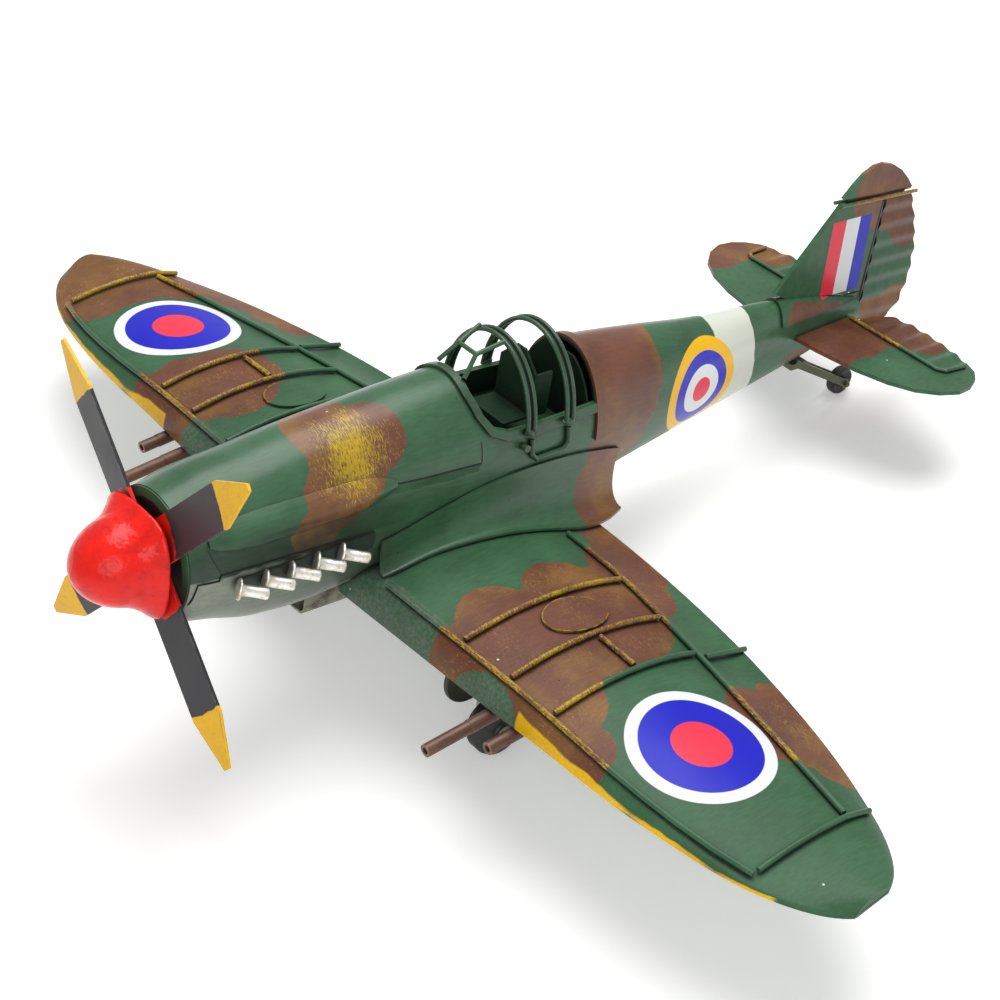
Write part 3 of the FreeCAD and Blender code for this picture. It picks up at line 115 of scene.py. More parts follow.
class Wiring:
    """A node tree and the moves that wire it up; each move gives back an output socket."""

    def __init__(self, tree):
        self.tree = tree

    def node(self, kind, inputs=None, out=0, **settings):
        made = self.tree.nodes.new("ShaderNode" + kind)
        for name, value in settings.items():
            setattr(made, name, value)
        for name, value in (inputs or {}).items():
            self.feed(made.inputs[name], value)
        return made.outputs[out]

    def feed(self, socket, value):
        if isinstance(value, bpy.types.NodeSocket):
            self.tree.links.new(value, socket)
        else:
            socket.default_value = value

    def math(self, operation, *values, clamp=False):
        return self.node("Math", dict(enumerate(values)), operation=operation, use_clamp=clamp)

    def times(self, *values):
        """All the values multiplied together."""
        product = values[0]
        for value in values[1:]:
            product = self.math("MULTIPLY", product, value)
        return product

    def line(self, value, slope, start, clamp=False):
        return self.math("MULTIPLY_ADD", value, slope, start, clamp=clamp)

    def invert(self, share):
        return self.math("SUBTRACT", 1.0, share)

    def size(self, value):
        return self.math("ABSOLUTE", value)

    def vector(self, operation, *values, out=0):
        return self.node("VectorMath", dict(enumerate(values)), out=out, operation=operation)

    def blend(self, share, under, over):
        return self.node("Mix", {0: share, 6: under, 7: over}, out=2, data_type="RGBA")

    def tint(self, colour, strength):
        """The colour made darker or lighter by this much."""
        inputs = {0: 1.0, 6: colour, 7: (strength,) * 3 + (1,)}
        return self.node("Mix", inputs, out=2, data_type="RGBA", blend_type="MULTIPLY", clamp_result=True)

    def number_blend(self, share, low, high):
        return self.node("Mix", {0: share, 2: low, 3: high}, data_type="FLOAT")

    def step(self, value, start, end):
        """0 up to start, 1 from end on, and a smooth rise between them."""
        inputs = {"Value": value, "From Min": start, "From Max": end}
        return self.node("MapRange", inputs, interpolation_type="SMOOTHSTEP")

    def between(self, value, low, high, blur):
        """1 from low to high and 0 outside them, with soft ends."""
        rise = self.step(value, low - blur, low + blur)
        return self.times(rise, self.step(value, high + blur, high - blur))

    def cloud(self, place, scale, detail=2.0, roughness=0.5, stretch=None, out=0):
        """Noise with this many lumps to a millimetre, drawn out along any axis whose stretch is small."""
        if stretch:
            place = self.vector("MULTIPLY", place, stretch)
        inputs = {"Vector": place, "Scale": scale, "Detail": detail, "Roughness": roughness}
        return self.node("TexNoise", inputs, out=out)

    def split(self, place):
        """The three numbers of a place."""
        made = self.tree.nodes.new("ShaderNodeSeparateXYZ")
        self.feed(made.inputs[0], place)
        return made.outputs[0], made.outputs[1], made.outputs[2]

    def flat(self, place, keep):
        """The place with one or two of its numbers set to nothing."""
        return self.vector("MULTIPLY", place, keep)

    def use(self, group, **inputs):
        """Place a group; gives back its outputs by name."""
        made = self.tree.nodes.new("ShaderNodeGroup")
        made.node_tree = group
        for name, value in inputs.items():
            self.feed(made.inputs[name.replace("_", " ")], value)
        return {socket.name: socket for socket in made.outputs}


def new_group(name, inputs, outputs):
    """An empty group with these sockets: (wiring, its inputs by name, a function that sets an output)."""
    group = bpy.data.node_groups.new(name, "ShaderNodeTree")
    kinds = {"vector": "NodeSocketVector", "number": "NodeSocketFloat", "colour": "NodeSocketColor"}
    for label, (kind, value) in inputs.items():
        socket = group.interface.new_socket(label, in_out="INPUT", socket_type=kinds[kind])
        if value is not None:
            socket.default_value = value
    for label, kind in outputs.items():
        group.interface.new_socket(label, in_out="OUTPUT", socket_type=kinds[kind])
    entry = group.nodes.new("NodeGroupInput")
    leave = group.nodes.new("NodeGroupOutput")
    wiring = Wiring(group)

    def give(label, socket):
        wiring.feed(leave.inputs[label], socket)

    return wiring, {socket.name: socket for socket in entry.outputs}, give


PLACE = {"Place": ("vector", None)}


def brushed_group():
    """Hand-brushed paint: streaks, cloudy strength and the ridges that the bristles leave."""
    w, given, give = new_group("Brushed paint", {**PLACE, "Streaks": ("vector", (1, 1, 1))},
                               {"Tone": "number", "Height": "number", "Dull": "number"})
    drawn = w.vector("MULTIPLY", given["Place"], given["Streaks"])
    streaks = w.cloud(drawn, 1.6, detail=3, roughness=0.6)
    clouds = w.cloud(given["Place"], 0.055, detail=3, roughness=0.55)
    dents = w.cloud(given["Place"], 0.035, detail=1)
    grit = w.cloud(given["Place"], 2.6, detail=1)
    tone = w.line(streaks, 0.55, w.times(clouds, 0.75))
    give("Tone", w.step(tone, 0.35, 0.95))
    height = w.line(streaks, 0.035, w.times(dents, 1.1))
    give("Height", w.line(grit, 0.018, height))
    give("Dull", w.step(clouds, 0.3, 0.7))
    return w.tree


def grime_group():
    """Painted shade that gathers in seams and corners and under wires, found by ambient occlusion."""
    inputs = {**PLACE, "Reach": ("number", 0.0018), "Strength": ("number", 0.8)}
    w, given, give = new_group("Seam grime", inputs, {"Mask": "number"})
    open_sky = w.node("AmbientOcclusion", {"Distance": given["Reach"]}, out=1, samples=6)
    smear = w.cloud(given["Place"], 0.5, detail=2)
    closed = w.invert(w.math("ADD", open_sky, w.line(smear, 0.3, -0.15)))
    give("Mask", w.times(w.step(closed, 0.12, 0.62), given["Strength"]))
    return w.tree


def worn_edge_group():
    """Paint rubbed thin along sharp edges."""
    w, given, give = new_group("Worn edges", {**PLACE, "Width": ("number", 0.0004)}, {"Mask": "number"})
    rounded = w.node("Bevel", {"Radius": given["Width"]}, samples=4)
    face = w.node("NewGeometry", out=1)
    turn = w.vector("DOT_PRODUCT", rounded, face, out=1)
    patches = w.cloud(given["Place"], 0.35, detail=3, roughness=0.7)
    give("Mask", w.times(w.step(turn, 0.985, 0.86), w.step(patches, 0.42, 0.62)))
    return w.tree


def speck_group():
    """Small flecks of pale paint, and a few dark ones."""
    w, given, give = new_group("Paint flecks", PLACE, {"Pale": "number", "Dark": "number"})
    for label, closeness, shift, rarity in (("Pale", 0.13, 0.0, 0.76), ("Dark", 0.17, 37.0, 0.70)):
        cells = w.tree.nodes.new("ShaderNodeTexVoronoi")
        w.feed(cells.inputs["Vector"], w.vector("ADD", given["Place"], (shift, shift, shift)))
        w.feed(cells.inputs["Scale"], closeness)
        chance = w.node("SeparateColor", {"Color": cells.outputs["Color"]})
        spot = w.step(cells.outputs["Distance"], 0.060, 0.030)
        give(label, w.times(spot, w.math("GREATER_THAN", chance, rarity)))
    return w.tree


def gold_rub_group():
    """Ochre dragged over the work with a nearly dry brush: fine crossing hairs, thick where it was loaded."""
    w, given, give = new_group("Gold rub", {**PLACE, "Amount": ("number", 0.5)}, {"Mask": "number"})
    hairs = None
    for lean, shift in ((0.25, 0.0), (-0.30, 31.0), (0.75, 67.0)):
        moved = w.vector("ADD", given["Place"], (shift, shift, shift))
        leaning = w.node("Mapping", {"Vector": moved, "Rotation": (0, 0, lean), "Scale": (0.62, 4.6, 1.4)})
        drawn = w.cloud(leaning, 1.0, detail=3, roughness=0.6)
        hairs = drawn if hairs is None else w.math("MAXIMUM", hairs, drawn)
    load = w.cloud(given["Place"], 0.075, detail=2, roughness=0.5)
    wet = w.line(load, 0.30, hairs)
    start = w.line(given["Amount"], -0.24, 0.93)
    give("Mask", w.step(w.math("SUBTRACT", wet, start), 0.0, 0.05))
    return w.tree


# --- Camouflage: brown patches are unions of round lobes (centre, centre, radius) in millimetres ---
PORT_WING_LOBES = [
    (54.5, 82, 12), (56, 107, 14), (50, 136, 13.2), (35, 148, 14), (20, 152, 18), (62, 125, 14.5),
    (74, 106, 18.5), (78, 92, 16), (92, 72, 13), (108, 66, 9.5), (66, 84, 16), (66, 98, 16), (76, 76, 14),
    (62, 66, 12.5), (76, 62, 16),
    (121, 122, 11.5), (133, 122, 12), (146, 127, 9.5), (124, 133, 12), (138, 134, 14), (113, 132, 3.5),
]
STARBOARD_WING_LOBES = [
    (-91, 78, 14), (-88, 90, 15.5), (-79, 84, 14), (-83, 74, 13), (-84, 94, 11), (-93, 69, 11.5),
    (-165, 96, 18.5), (-158, 82, 12), (-158, 113, 16), (-140, 129, 11), (-126, 133, 9.5), (-116, 136, 9),
    (-172, 80, 14), (-172, 112, 18), (-181, 90, 13), (-180, 103, 12),
]
PORT_TAILPLANE_LOBES = [(12, 262, 14.5), (14, 250, 12.5), (18, 282, 12.5), (27, 285, 8)]
STARBOARD_TAILPLANE_LOBES = [(-53, 262, 11.5), (-52, 274, 10), (-44, 283, 9.5)]
FIN_LOBES = [(300, 43.5, 12), (288, 50, 10), (280, 56, 14), (300, 6, 11.5), (287, 4, 10.5), (272, 0, 10)]
COWL_LOBES = [(2.5, 54, 11.3), (9, 67, 9.2), (14, 56, 12), (21, 50, 10.4), (30, 42, 7.9), (12, 60, 10)]
COWL_STARBOARD_LOBES = [(-30, 70, 9), (-38, 60, 11), (-40, 74, 10)]
REAR_LOBES = [
    (0, 163, 15), (12, 164, 14), (24, 161, 15), (38, 158, 14), (50, 152, 14), (-12, 162, 14), (-26, 165, 14),
    (-40, 158, 14), (-54, 164, 12), (34, 255, 12), (41, 268, 13), (46, 280, 14), (30, 276, 9),
    (-34, 250, 12), (-42, 266, 15),
]
GIRTH_RADIUS = 22.0
LOBE_MERGE = 2.0
SPINE_CENTRE = 3.0


def patch(w, point, lobes, blur=0.5):
    """1 inside a patch made of overlapping lobes and 0 outside it."""
    depth = None
    for across, along, radius in lobes:
        one = w.math("SUBTRACT", w.vector("DISTANCE", point, (across, along, 0), out=1), radius)
        depth = one if depth is None else w.math("SMOOTH_MIN", depth, one, LOBE_MERGE)
    return w.line(depth, -1 / blur, 0.5, clamp=True)


def hand_wavy(w, place, amount=1.1):
    """The place pushed about a little, so that a painted edge isn't a true arc."""
    push = w.cloud(place, 0.16, detail=2, out=1)
    centred = w.vector("SUBTRACT", push, (0.5, 0.5, 0.5))
    return w.vector("MULTIPLY_ADD", centred, (amount * 2,) * 3, place)


def rings(w, point, centre, bands, blur=0.14):
    """Concentric painted rings: (colour, coverage). bands run from the outside in as (radius, colour)."""
    away = w.vector("DISTANCE", point, (*centre, 0), out=1)
    colour = bands[0][1]
    for radius, paint in bands[1:]:
        colour = w.blend(w.step(away, radius + blur, radius - blur), colour, paint)
    cover = w.step(away, bands[0][0] + blur, bands[0][0] - blur)
    return colour, cover


# Yellow edge: its stations out from the middle, and the ellipse quarter that the leading edge follows
EDGE_START = 85.5
EDGE_END = 150.0
EDGE_LAST = 170.0
EDGE_CENTRE = (105.0, 95.0)
EDGE_REACH = (83.0, 31.0)
EDGE_WIDTHS = (0.30, 0.20)
CUFF_BACK = 67.5
TIP_RIM = 172.0
GREEN_NOTCH = (74, 64, -23.5)
GREEN_NOTCH_REACH = (12.5, 9, 8.5)
WING_ROUNDEL = (124.5, 93.7)
WING_RINGS = [(20.6, WHITE), (17.1, BLUE), (8.4, RED)]
WING_RINGS_ABOVE = -17.5
FLANK_ROUNDEL = (198.0, 7.6)
FLANK_RINGS = [(16.2, YELLOW), (12.4, BLUE), (8.3, WHITE), (4.2, RED)]


def yellow_edge(w, place):
    """The wavy yellow stripe along the leading edge outboard of the cannons."""
    across, along, _ = w.split(w.vector("ABSOLUTE", place))
    beyond = w.math("MAXIMUM", w.math("SUBTRACT", across, EDGE_CENTRE[0]), 0.0)
    out = w.math("MINIMUM", w.math("DIVIDE", beyond, EDGE_REACH[0]), 1.0)
    lead = w.line(w.math("SQRT", w.invert(w.times(out, out))), -EDGE_REACH[1], EDGE_CENTRE[1])
    waves = w.cloud(w.flat(place, (1, 0, 0)), 0.05, detail=3, roughness=0.5)
    width = w.number_blend(w.step(across, EDGE_START, EDGE_END), *EDGE_WIDTHS)
    width = w.math("ADD", w.line(waves, 1.5, -0.85), width)
    near = w.step(w.math("SUBTRACT", along, w.math("ADD", lead, width)), 0.12, -0.12)
    inner_end = w.step(across, EDGE_START - 0.4, EDGE_START + 0.4)
    return w.times(near, inner_end, w.step(across, EDGE_LAST + 2.0, EDGE_LAST))


def wing_paint_group():
    """Camouflage of the wings seen in plan, with the ring marking, the yellow edge and the sandy cuffs."""
    w, given, give = new_group("Wing camouflage", PLACE,
                               {"Colour": "colour", "Brown": "number", "Marking": "number"})
    place = given["Place"]
    across, along, high = w.split(place)
    wavy = hand_wavy(w, place)
    brown = patch(w, w.flat(wavy, (1, 1, 0)), PORT_WING_LOBES + STARBOARD_WING_LOBES)
    shrink = [1 / reach for reach in GREEN_NOTCH_REACH]
    notch = w.vector("MULTIPLY", w.vector("SUBTRACT", wavy, GREEN_NOTCH), shrink)
    brown = w.times(brown, w.step(w.vector("LENGTH", notch, out=1), 0.98, 1.03))
    colour = w.blend(brown, GREEN, BROWN)
    inboard = w.step(w.size(across), EDGE_START, EDGE_START - 2.0)
    sand = w.step(w.cloud(place, 0.9, detail=4, roughness=0.75), 0.35, 0.70)
    cuff = w.times(w.step(along, CUFF_BACK + 1.5, CUFF_BACK), inboard, w.invert(brown), sand)
    colour = w.blend(cuff, colour, CUFF_GREY)
    plan = w.flat(w.vector("ABSOLUTE", place), (1, 1, 0))
    ring_colour, cover = rings(w, plan, WING_ROUNDEL, WING_RINGS)
    cover = w.times(cover, w.step(high, WING_RINGS_ABOVE, WING_RINGS_ABOVE + 0.5))
    edge = yellow_edge(w, place)
    colour = w.blend(edge, colour, YELLOW)
    give("Colour", w.blend(cover, colour, ring_colour))
    give("Brown", w.times(brown, w.invert(edge), w.invert(cover)))
    give("Marking", cover)
    return w.tree


# The pale band slants on both its edges, by this much for each millimetre of girth
BAND_FRONT = 205.0
BAND_WIDTH = 18.0
BAND_LEANS = (-0.02, 0.10)
KEEL_DEPTH = -17.0
KEEL_START = 110.0
KEEL_RISE = 0.085
BELLY_HALF = 15.0
CHIN_GIRTH = 35.5
CHIN_FADE = (78.0, 8.0)
# Where the painted shade on the nose's lower flanks lies: its girth, and the stations where it fades out
FLANK_SHADE_GIRTH = (21.0, 30.0)
FLANK_SHADE_FADE = (84.0, 50.0)
COCKPIT_HALF = 20.0
COCKPIT_LOW = -2.5
RUB_HEART = (11, 58)
RUB_FADE = (20.0, 2.0)


def fuselage_paint_group():
    """Camouflage of the fuselage by girth and length, with its band, ring marking and pale belly, painted
    shade low on the nose's flanks and painted shade inside the cockpit.
    """
    w, given, give = new_group("Fuselage camouflage", PLACE,
                               {"Colour": "colour", "Brown": "number", "Marking": "number",
                                "Rubbed": "number", "Unrolled": "vector"})
    place = given["Place"]
    true_across, true_along, true_high = w.split(place)
    across, along, high = w.split(hand_wavy(w, place))
    turn = w.math("ARCTAN2", across, w.math("SUBTRACT", high, SPINE_CENTRE))
    girth = w.times(turn, GIRTH_RADIUS)
    around = w.size(girth)
    sheet = w.node("CombineXYZ", {0: girth, 1: along})
    brown = patch(w, sheet, COWL_LOBES + COWL_STARBOARD_LOBES + REAR_LOBES)
    colour = w.blend(brown, GREEN, BROWN)
    behind_front = w.math("SUBTRACT", along, w.line(around, BAND_LEANS[0], BAND_FRONT))
    before_back = w.math("SUBTRACT", w.line(around, BAND_LEANS[1], BAND_FRONT + BAND_WIDTH), along)
    band = w.times(w.step(behind_front, -0.25, 0.25), w.step(before_back, -0.25, 0.25))
    colour = w.blend(band, colour, BAND)
    # Painted shade: the lower flanks of the nose are darkened, fading out aft
    flank_shade_share = w.times(w.step(around, *FLANK_SHADE_GIRTH), w.step(along, *FLANK_SHADE_FADE), 0.78)
    colour = w.blend(flank_shade_share, colour, FLANK_SHADE)
    keel = w.line(w.math("MAXIMUM", w.math("SUBTRACT", along, KEEL_START), 0.0), KEEL_RISE, KEEL_DEPTH)
    belly = w.times(w.step(w.math("SUBTRACT", high, keel), 0.6, -1.2),
                    w.step(w.size(across), BELLY_HALF + 0.5, BELLY_HALF - 0.5))
    chin = w.times(w.step(along, *CHIN_FADE), w.step(around, CHIN_GIRTH - 0.5, CHIN_GIRTH + 0.5))
    colour = w.blend(w.math("MAXIMUM", belly, chin), colour, NOSE_SKY)
    flank = w.node("CombineXYZ", {0: true_along, 1: true_high})
    ring_colour, cover = rings(w, flank, FLANK_ROUNDEL, FLANK_RINGS)
    colour = w.blend(cover, colour, ring_colour)
    rise = w.math("SUBTRACT", true_high, SPINE_CENTRE)
    outward = w.node("CombineXYZ", {0: true_across, 1: w.times(rise, UP.y), 2: w.times(rise, UP.z)})
    facing = w.vector("DOT_PRODUCT", w.node("NewGeometry", out=3), outward, out=1)
    # Painted shade: the inward-facing skin around the cockpit turns near-black green
    inside = w.times(w.math("LESS_THAN", facing, 0.0),
                     w.step(true_high, COCKPIT_LOW - 0.5, COCKPIT_LOW + 0.5),
                     w.step(w.size(true_across), COCKPIT_HALF + 0.2, COCKPIT_HALF - 0.2))
    marking = w.math("MAXIMUM", cover, band)
    give("Colour", w.blend(inside, colour, SHADED_COCKPIT_GREEN))
    give("Brown", w.times(brown, w.invert(inside), w.invert(marking)))
    give("Marking", marking)
    give("Rubbed", w.step(w.vector("DISTANCE", sheet, (*RUB_HEART, 0), out=1), *RUB_FADE))
    give("Unrolled", sheet)
    return w.tree


FLASH_STRIPES = [(258.1, RED), (264.5, WHITE), (271.3, BLUE)]
FLASH_BACK = 276.8
FLASH_TOP = 48.5
FLASH_FOOT = 20.7
FLASH_RAKE = -0.06
FLASH_BLUR = 0.12
FIN_HALF = 2.4
# Where the painted shadow along the rudder's hinge lies
HINGE_AT = 280.3
HINGE_RAKE = 0.033
HINGE_HALF = 1.15
HINGE_FOOT = 13.5
HINGE_TOP = 52.25


def tail_paint_group():
    """Camouflage of the fin, rudder, tailplanes and elevators, with the striped flash and a painted shadow
    along the rudder's hinge.
    """
    w, given, give = new_group("Tail camouflage", PLACE,
                               {"Colour": "colour", "Brown": "number", "Marking": "number"})
    place = given["Place"]
    _, true_along, true_high = w.split(place)
    wavy = hand_wavy(w, place, 0.8)
    across, along, high = w.split(wavy)
    flat_parts = patch(w, w.flat(wavy, (1, 1, 0)), PORT_TAILPLANE_LOBES + STARBOARD_TAILPLANE_LOBES)
    upright = patch(w, w.node("CombineXYZ", {0: along, 1: high}), FIN_LOBES)
    off_centre = w.step(w.size(across), FIN_HALF - 0.2, FIN_HALF + 0.2)
    brown = w.number_blend(off_centre, upright, flat_parts)
    colour = w.blend(brown, GREEN, BROWN)
    raked = w.line(w.math("SUBTRACT", FLASH_TOP, true_high), FLASH_RAKE, true_along)
    stripes = FLASH_STRIPES[0][1]
    for start, paint in FLASH_STRIPES[1:]:
        stripes = w.blend(w.step(raked, start - FLASH_BLUR, start + FLASH_BLUR), stripes, paint)
    cover = w.times(w.between(raked, FLASH_STRIPES[0][0], FLASH_BACK, FLASH_BLUR),
                    w.between(true_high, FLASH_FOOT, FLASH_TOP, FLASH_BLUR), w.invert(off_centre))
    colour = w.blend(cover, colour, stripes)
    # Painted shadow: a near-black strip down the rudder's hinge line
    from_hinge = w.size(w.math("SUBTRACT", true_along, w.line(true_high, HINGE_RAKE, HINGE_AT)))
    hinge = w.times(w.step(from_hinge, HINGE_HALF + 0.2, HINGE_HALF - 0.2),
                    w.between(true_high, HINGE_FOOT, HINGE_TOP, 0.25), w.invert(off_centre))
    give("Colour", w.blend(w.times(hinge, 0.92), colour, SOOT_AND_SHADE))
    give("Brown", w.times(brown, w.invert(hinge), w.invert(cover)))
    give("Marking", cover)
    return w.tree


BRUSHED = brushed_group()
SEAM_SHADE = grime_group()
WORN = worn_edge_group()
FLECKS = speck_group()
GOLD_RUB = gold_rub_group()
WING_PAINT = wing_paint_group()
FUSELAGE_PAINT = fuselage_paint_group()
TAIL_PAINT = tail_paint_group()


def new_material(name):
    """A material with its wiring, Principled shader and the flight-frame place of each point."""
    material = bpy.data.materials.new(name)
    material.use_nodes = True
    w = Wiring(material.node_tree)
    shader = material.node_tree.nodes["Principled BSDF"]
    seen = w.node("TexCoord", out=3)
    inputs = {"Vector": seen, "Location": ORIGIN, "Rotation": (-SIT, 0, 0), "Scale": (MM, MM, MM)}
    place = w.node("Mapping", inputs, vector_type="TEXTURE")
    return material, w, shader, place


BRUSH_DEPTH = 0.00022


def finish_paint(w, shader, place, colour, gloss=0.34, streaks=(1, 0.14, 1), shade=0.30, grime=0.8, worn=None,
                 flecks=True, relief=1.0, reach=0.0018, marking=None, shine=0.5):
    """Bring a colour to a finished coat: streaks, painted seam shade, flecks, worn edges, gloss and relief.
    """
    brush = w.use(BRUSHED, Place=place, Streaks=streaks)
    clean = colour
    colour = w.blend(brush["Tone"], w.tint(colour, 1 - shade), w.tint(colour, 1 + 0.7 * shade))
    if flecks:
        spots = w.use(FLECKS, Place=place)
        colour = w.blend(spots["Pale"], colour, BAND)
        colour = w.blend(w.times(spots["Dark"], 0.8), colour, SOOT_AND_SHADE)
    rough = w.number_blend(brush["Dull"], gloss, gloss + 0.10)
    if marking is not None:
        colour = w.blend(marking, colour, clean)
        rough = w.line(marking, -0.10, rough)
    if worn:
        colour = w.blend(w.use(WORN, Place=place)["Mask"], colour, worn)
    # Painted shade: ambient occlusion darkens seams, corners and the skin under wires
    painted_shade = w.use(SEAM_SHADE, Place=place, Strength=grime, Reach=reach)["Mask"]
    w.feed(shader.inputs["Base Color"], w.blend(painted_shade, colour, SOOT_AND_SHADE))
    w.feed(shader.inputs["Roughness"], w.line(painted_shade, 0.25, rough))
    bump = w.node("Bump", {"Strength": 1.0, "Distance": BRUSH_DEPTH * relief, "Height": brush["Height"]})
    w.feed(shader.inputs["Normal"], bump)
    shader.inputs["IOR"].default_value = 1.5
    shader.inputs["Specular IOR Level"].default_value = shine


RIM_WIDTH = 0.0009
HAZE_SHARE = 0.55


def camouflage(name, group, streaks, gold=0.3, gloss=0.30, raised=False, rim=False, shine=0.5):
    """A camouflaged coat over tin with ochre rubbed into its brown, and most into raised work and rims."""
    material, w, shader, place = new_material(name)
    paint = w.use(group, Place=place)
    colour, brown = paint["Colour"], paint["Brown"]
    drag = paint.get("Unrolled", place)
    share = w.times(w.use(GOLD_RUB, Place=drag, Amount=gold)["Mask"], brown, 0.9 if raised else 0.55)
    if "Rubbed" in paint:
        rubbed = paint["Rubbed"]
        heavy = w.use(GOLD_RUB, Place=drag, Amount=w.line(rubbed, 0.95, 0.25))["Mask"]
        near = w.times(heavy, w.step(rubbed, 0.0, 0.12))
        share = w.math("MAXIMUM", share, w.times(near, brown, 0.92))
        colour = w.blend(w.times(near, w.invert(brown), rubbed, 0.55), colour, LIME)
    if rim:
        edge = w.step(w.use(WORN, Place=place, Width=RIM_WIDTH)["Mask"], 0.0, 0.35)
        share = w.math("MAXIMUM", share, w.times(edge, brown, 0.85))
    haze = w.step(w.cloud(place, 0.035, detail=3, roughness=0.6), 0.46, 0.66)
    colour = w.blend(w.times(haze, brown, HAZE_SHARE), colour, GOLD_HAZE)
    finish_paint(w, shader, place, w.blend(share, colour, GOLD), gloss=gloss, streaks=streaks,
                 marking=paint["Marking"], reach=0.0013 if raised else 0.0020, shine=shine)
    return material


def plain_paint(name, colour, second=None, patches=0.4, **finish):
    """One paint, cloudy towards a second colour."""
    material, w, shader, place = new_material(name)
    if second:
        share = w.step(w.cloud(place, 0.12, detail=4, roughness=0.65), 0.5 - patches / 4, 0.5 + patches)
        colour = w.blend(share, colour, second)
    finish_paint(w, shader, place, colour, **finish)
    return material


def underside_paint():
    """Pale underside of the wings, with the top's green carried round the tips."""
    material, w, shader, place = new_material("wing_underside")
    cloudy = w.blend(w.cloud(place, 0.12, detail=4, roughness=0.65), SKY, DIRTY_SKY)
    tip = w.step(w.size(w.split(place)[0]), TIP_RIM - 1.0, TIP_RIM + 1.0)
    finish_paint(w, shader, place, w.blend(tip, cloudy, GREEN), gloss=0.38, streaks=(1, 0.1, 1))
    return material


def bare_metal(name, colour, stain, rough=0.30, stain_share=0.35):
    """Bare metal with tarnish blotches, pits and fine turning marks."""
    material, w, shader, place = new_material(name)
    blotch = w.step(w.cloud(place, 0.45, detail=4, roughness=0.7), 0.50, 0.66)
    pits = w.step(w.cloud(w.vector("ADD", place, (9, 9, 9)), 1.9, detail=2, roughness=0.6), 0.70, 0.74)
    marks = w.cloud(place, 3.0, detail=3)
    tone = w.blend(pits, w.blend(w.times(blotch, stain_share), colour, stain), SOOT_AND_SHADE)
    # Painted shade in the metal's corners and seams
    painted_shade = w.use(SEAM_SHADE, Place=place, Strength=0.75, Reach=0.0012)["Mask"]
    w.feed(shader.inputs["Base Color"], w.blend(painted_shade, tone, SOOT_AND_SHADE))
    w.feed(shader.inputs["Roughness"], w.line(blotch, 0.22, w.line(marks, 0.12, rough)))
    w.feed(shader.inputs["Metallic"], w.invert(w.math("MAXIMUM", pits, w.times(painted_shade, 0.8))))
    bump = w.node("Bump", {"Strength": 0.5, "Distance": 0.00012, "Height": w.line(pits, -0.7, marks)})
    w.feed(shader.inputs["Normal"], bump)
    return material


def spinner_enamel():
    """Thick glossy red enamel with dark rubbed patches, and painted shade in its hollows."""
    material, w, shader, place = new_material("spinner_red_enamel")
    runs = w.cloud(place, 0.16, detail=3, roughness=0.6)
    rubs = w.step(w.cloud(place, 0.30, detail=5, roughness=0.75, stretch=(1, 0.5, 1)), 0.58, 0.72)
    colour = w.blend(w.step(runs, 0.25, 0.60), (0.62, 0.006, 0.004, 1), ENAMEL_RED)
    colour = w.blend(w.times(rubs, 0.6), colour, (0.16, 0.006, 0.005, 1))
    painted_shade = w.use(SEAM_SHADE, Place=place, Strength=0.85, Reach=0.0035)["Mask"]
    w.feed(shader.inputs["Base Color"], w.blend(painted_shade, colour, (0.03, 0.004, 0.004, 1)))
    w.feed(shader.inputs["Roughness"], w.line(rubs, 0.20, 0.24))
    lumps = w.line(w.cloud(place, 0.5, detail=2), 0.30, runs)
    w.feed(shader.inputs["Normal"], w.node("Bump", {"Strength": 1.0, "Distance": 0.0005, "Height": lumps}))
    shader.inputs["Specular IOR Level"].default_value = 0.30
    return material


YELLOW_TIP = 45.8
RED_ROOT = 19.4


def blade_material():
    """Charcoal blade with a hand-dipped yellow tip, by distance from the propeller's axis."""
    material, w, shader, place = new_material("blade_charcoal_yellow_tip")
    away = w.vector("SUBTRACT", place, (0, 0, THRUST_LINE))
    away = w.vector("LENGTH", w.flat(away, (1, 0, 1)), out=1)
    ragged = w.line(w.cloud(place, 0.25, detail=2), 1.4, away)
    tip = w.step(ragged, YELLOW_TIP + 0.55, YELLOW_TIP + 0.85)
    scuffs = w.step(w.cloud(place, 1.4, detail=5, roughness=0.8), 0.60, 0.70)
    colour = w.blend(w.times(scuffs, 0.35), CHARCOAL, (0.13, 0.10, 0.09, 1))
    ochre = w.step(w.cloud(place, 0.5, detail=4, roughness=0.7), 0.50, 0.72)
    yellow = w.blend(w.times(ochre, 0.35), YELLOW, (0.62, 0.28, 0.02, 1))
    colour = w.blend(tip, colour, yellow)
    smear = w.line(w.cloud(place, 0.35, detail=3, roughness=0.6), 2.6, away)
    colour = w.blend(w.step(smear, RED_ROOT + 0.4, RED_ROOT), colour, ENAMEL_RED)
    finish_paint(w, shader, place, colour, gloss=0.40, streaks=(1, 1, 1), shade=0.12, flecks=False,
                 worn=SCUFF_BROWN, shine=0.35)
    return material


RING_PAINT_START = 15.4


def nose_ring_material():
    """Black disc whose rim takes the cowl's green above and stays black below as painted shade."""
    material, w, shader, place = new_material("nose_ring_black_green_rim")
    away = w.vector("SUBTRACT", place, (0, 0, THRUST_LINE))
    radius = w.vector("LENGTH", w.flat(away, (1, 0, 1)), out=1)
    ragged = w.line(w.cloud(place, 0.3, detail=2), 0.8, radius)
    # The rim is green only towards the top; lower down it is left black as painted shade
    upper = w.step(w.split(place)[2], -4.0, 10.0)
    rim = w.times(w.step(ragged, RING_PAINT_START, RING_PAINT_START + 0.6), upper)
    colour = w.blend(rim, BLACK, GREEN)
    finish_paint(w, shader, place, colour, gloss=0.40, flecks=False, grime=0.5, shine=0.25)
    return material


# The floor's own glow, near the object and added far from it, and where the far glow starts and ends
GLOW_NEAR = 0.25
GLOW_FAR = 0.44
GLOW_FADE = (330.0, 1500.0)
MIDDLE_BELOW = (0, 140, -30)


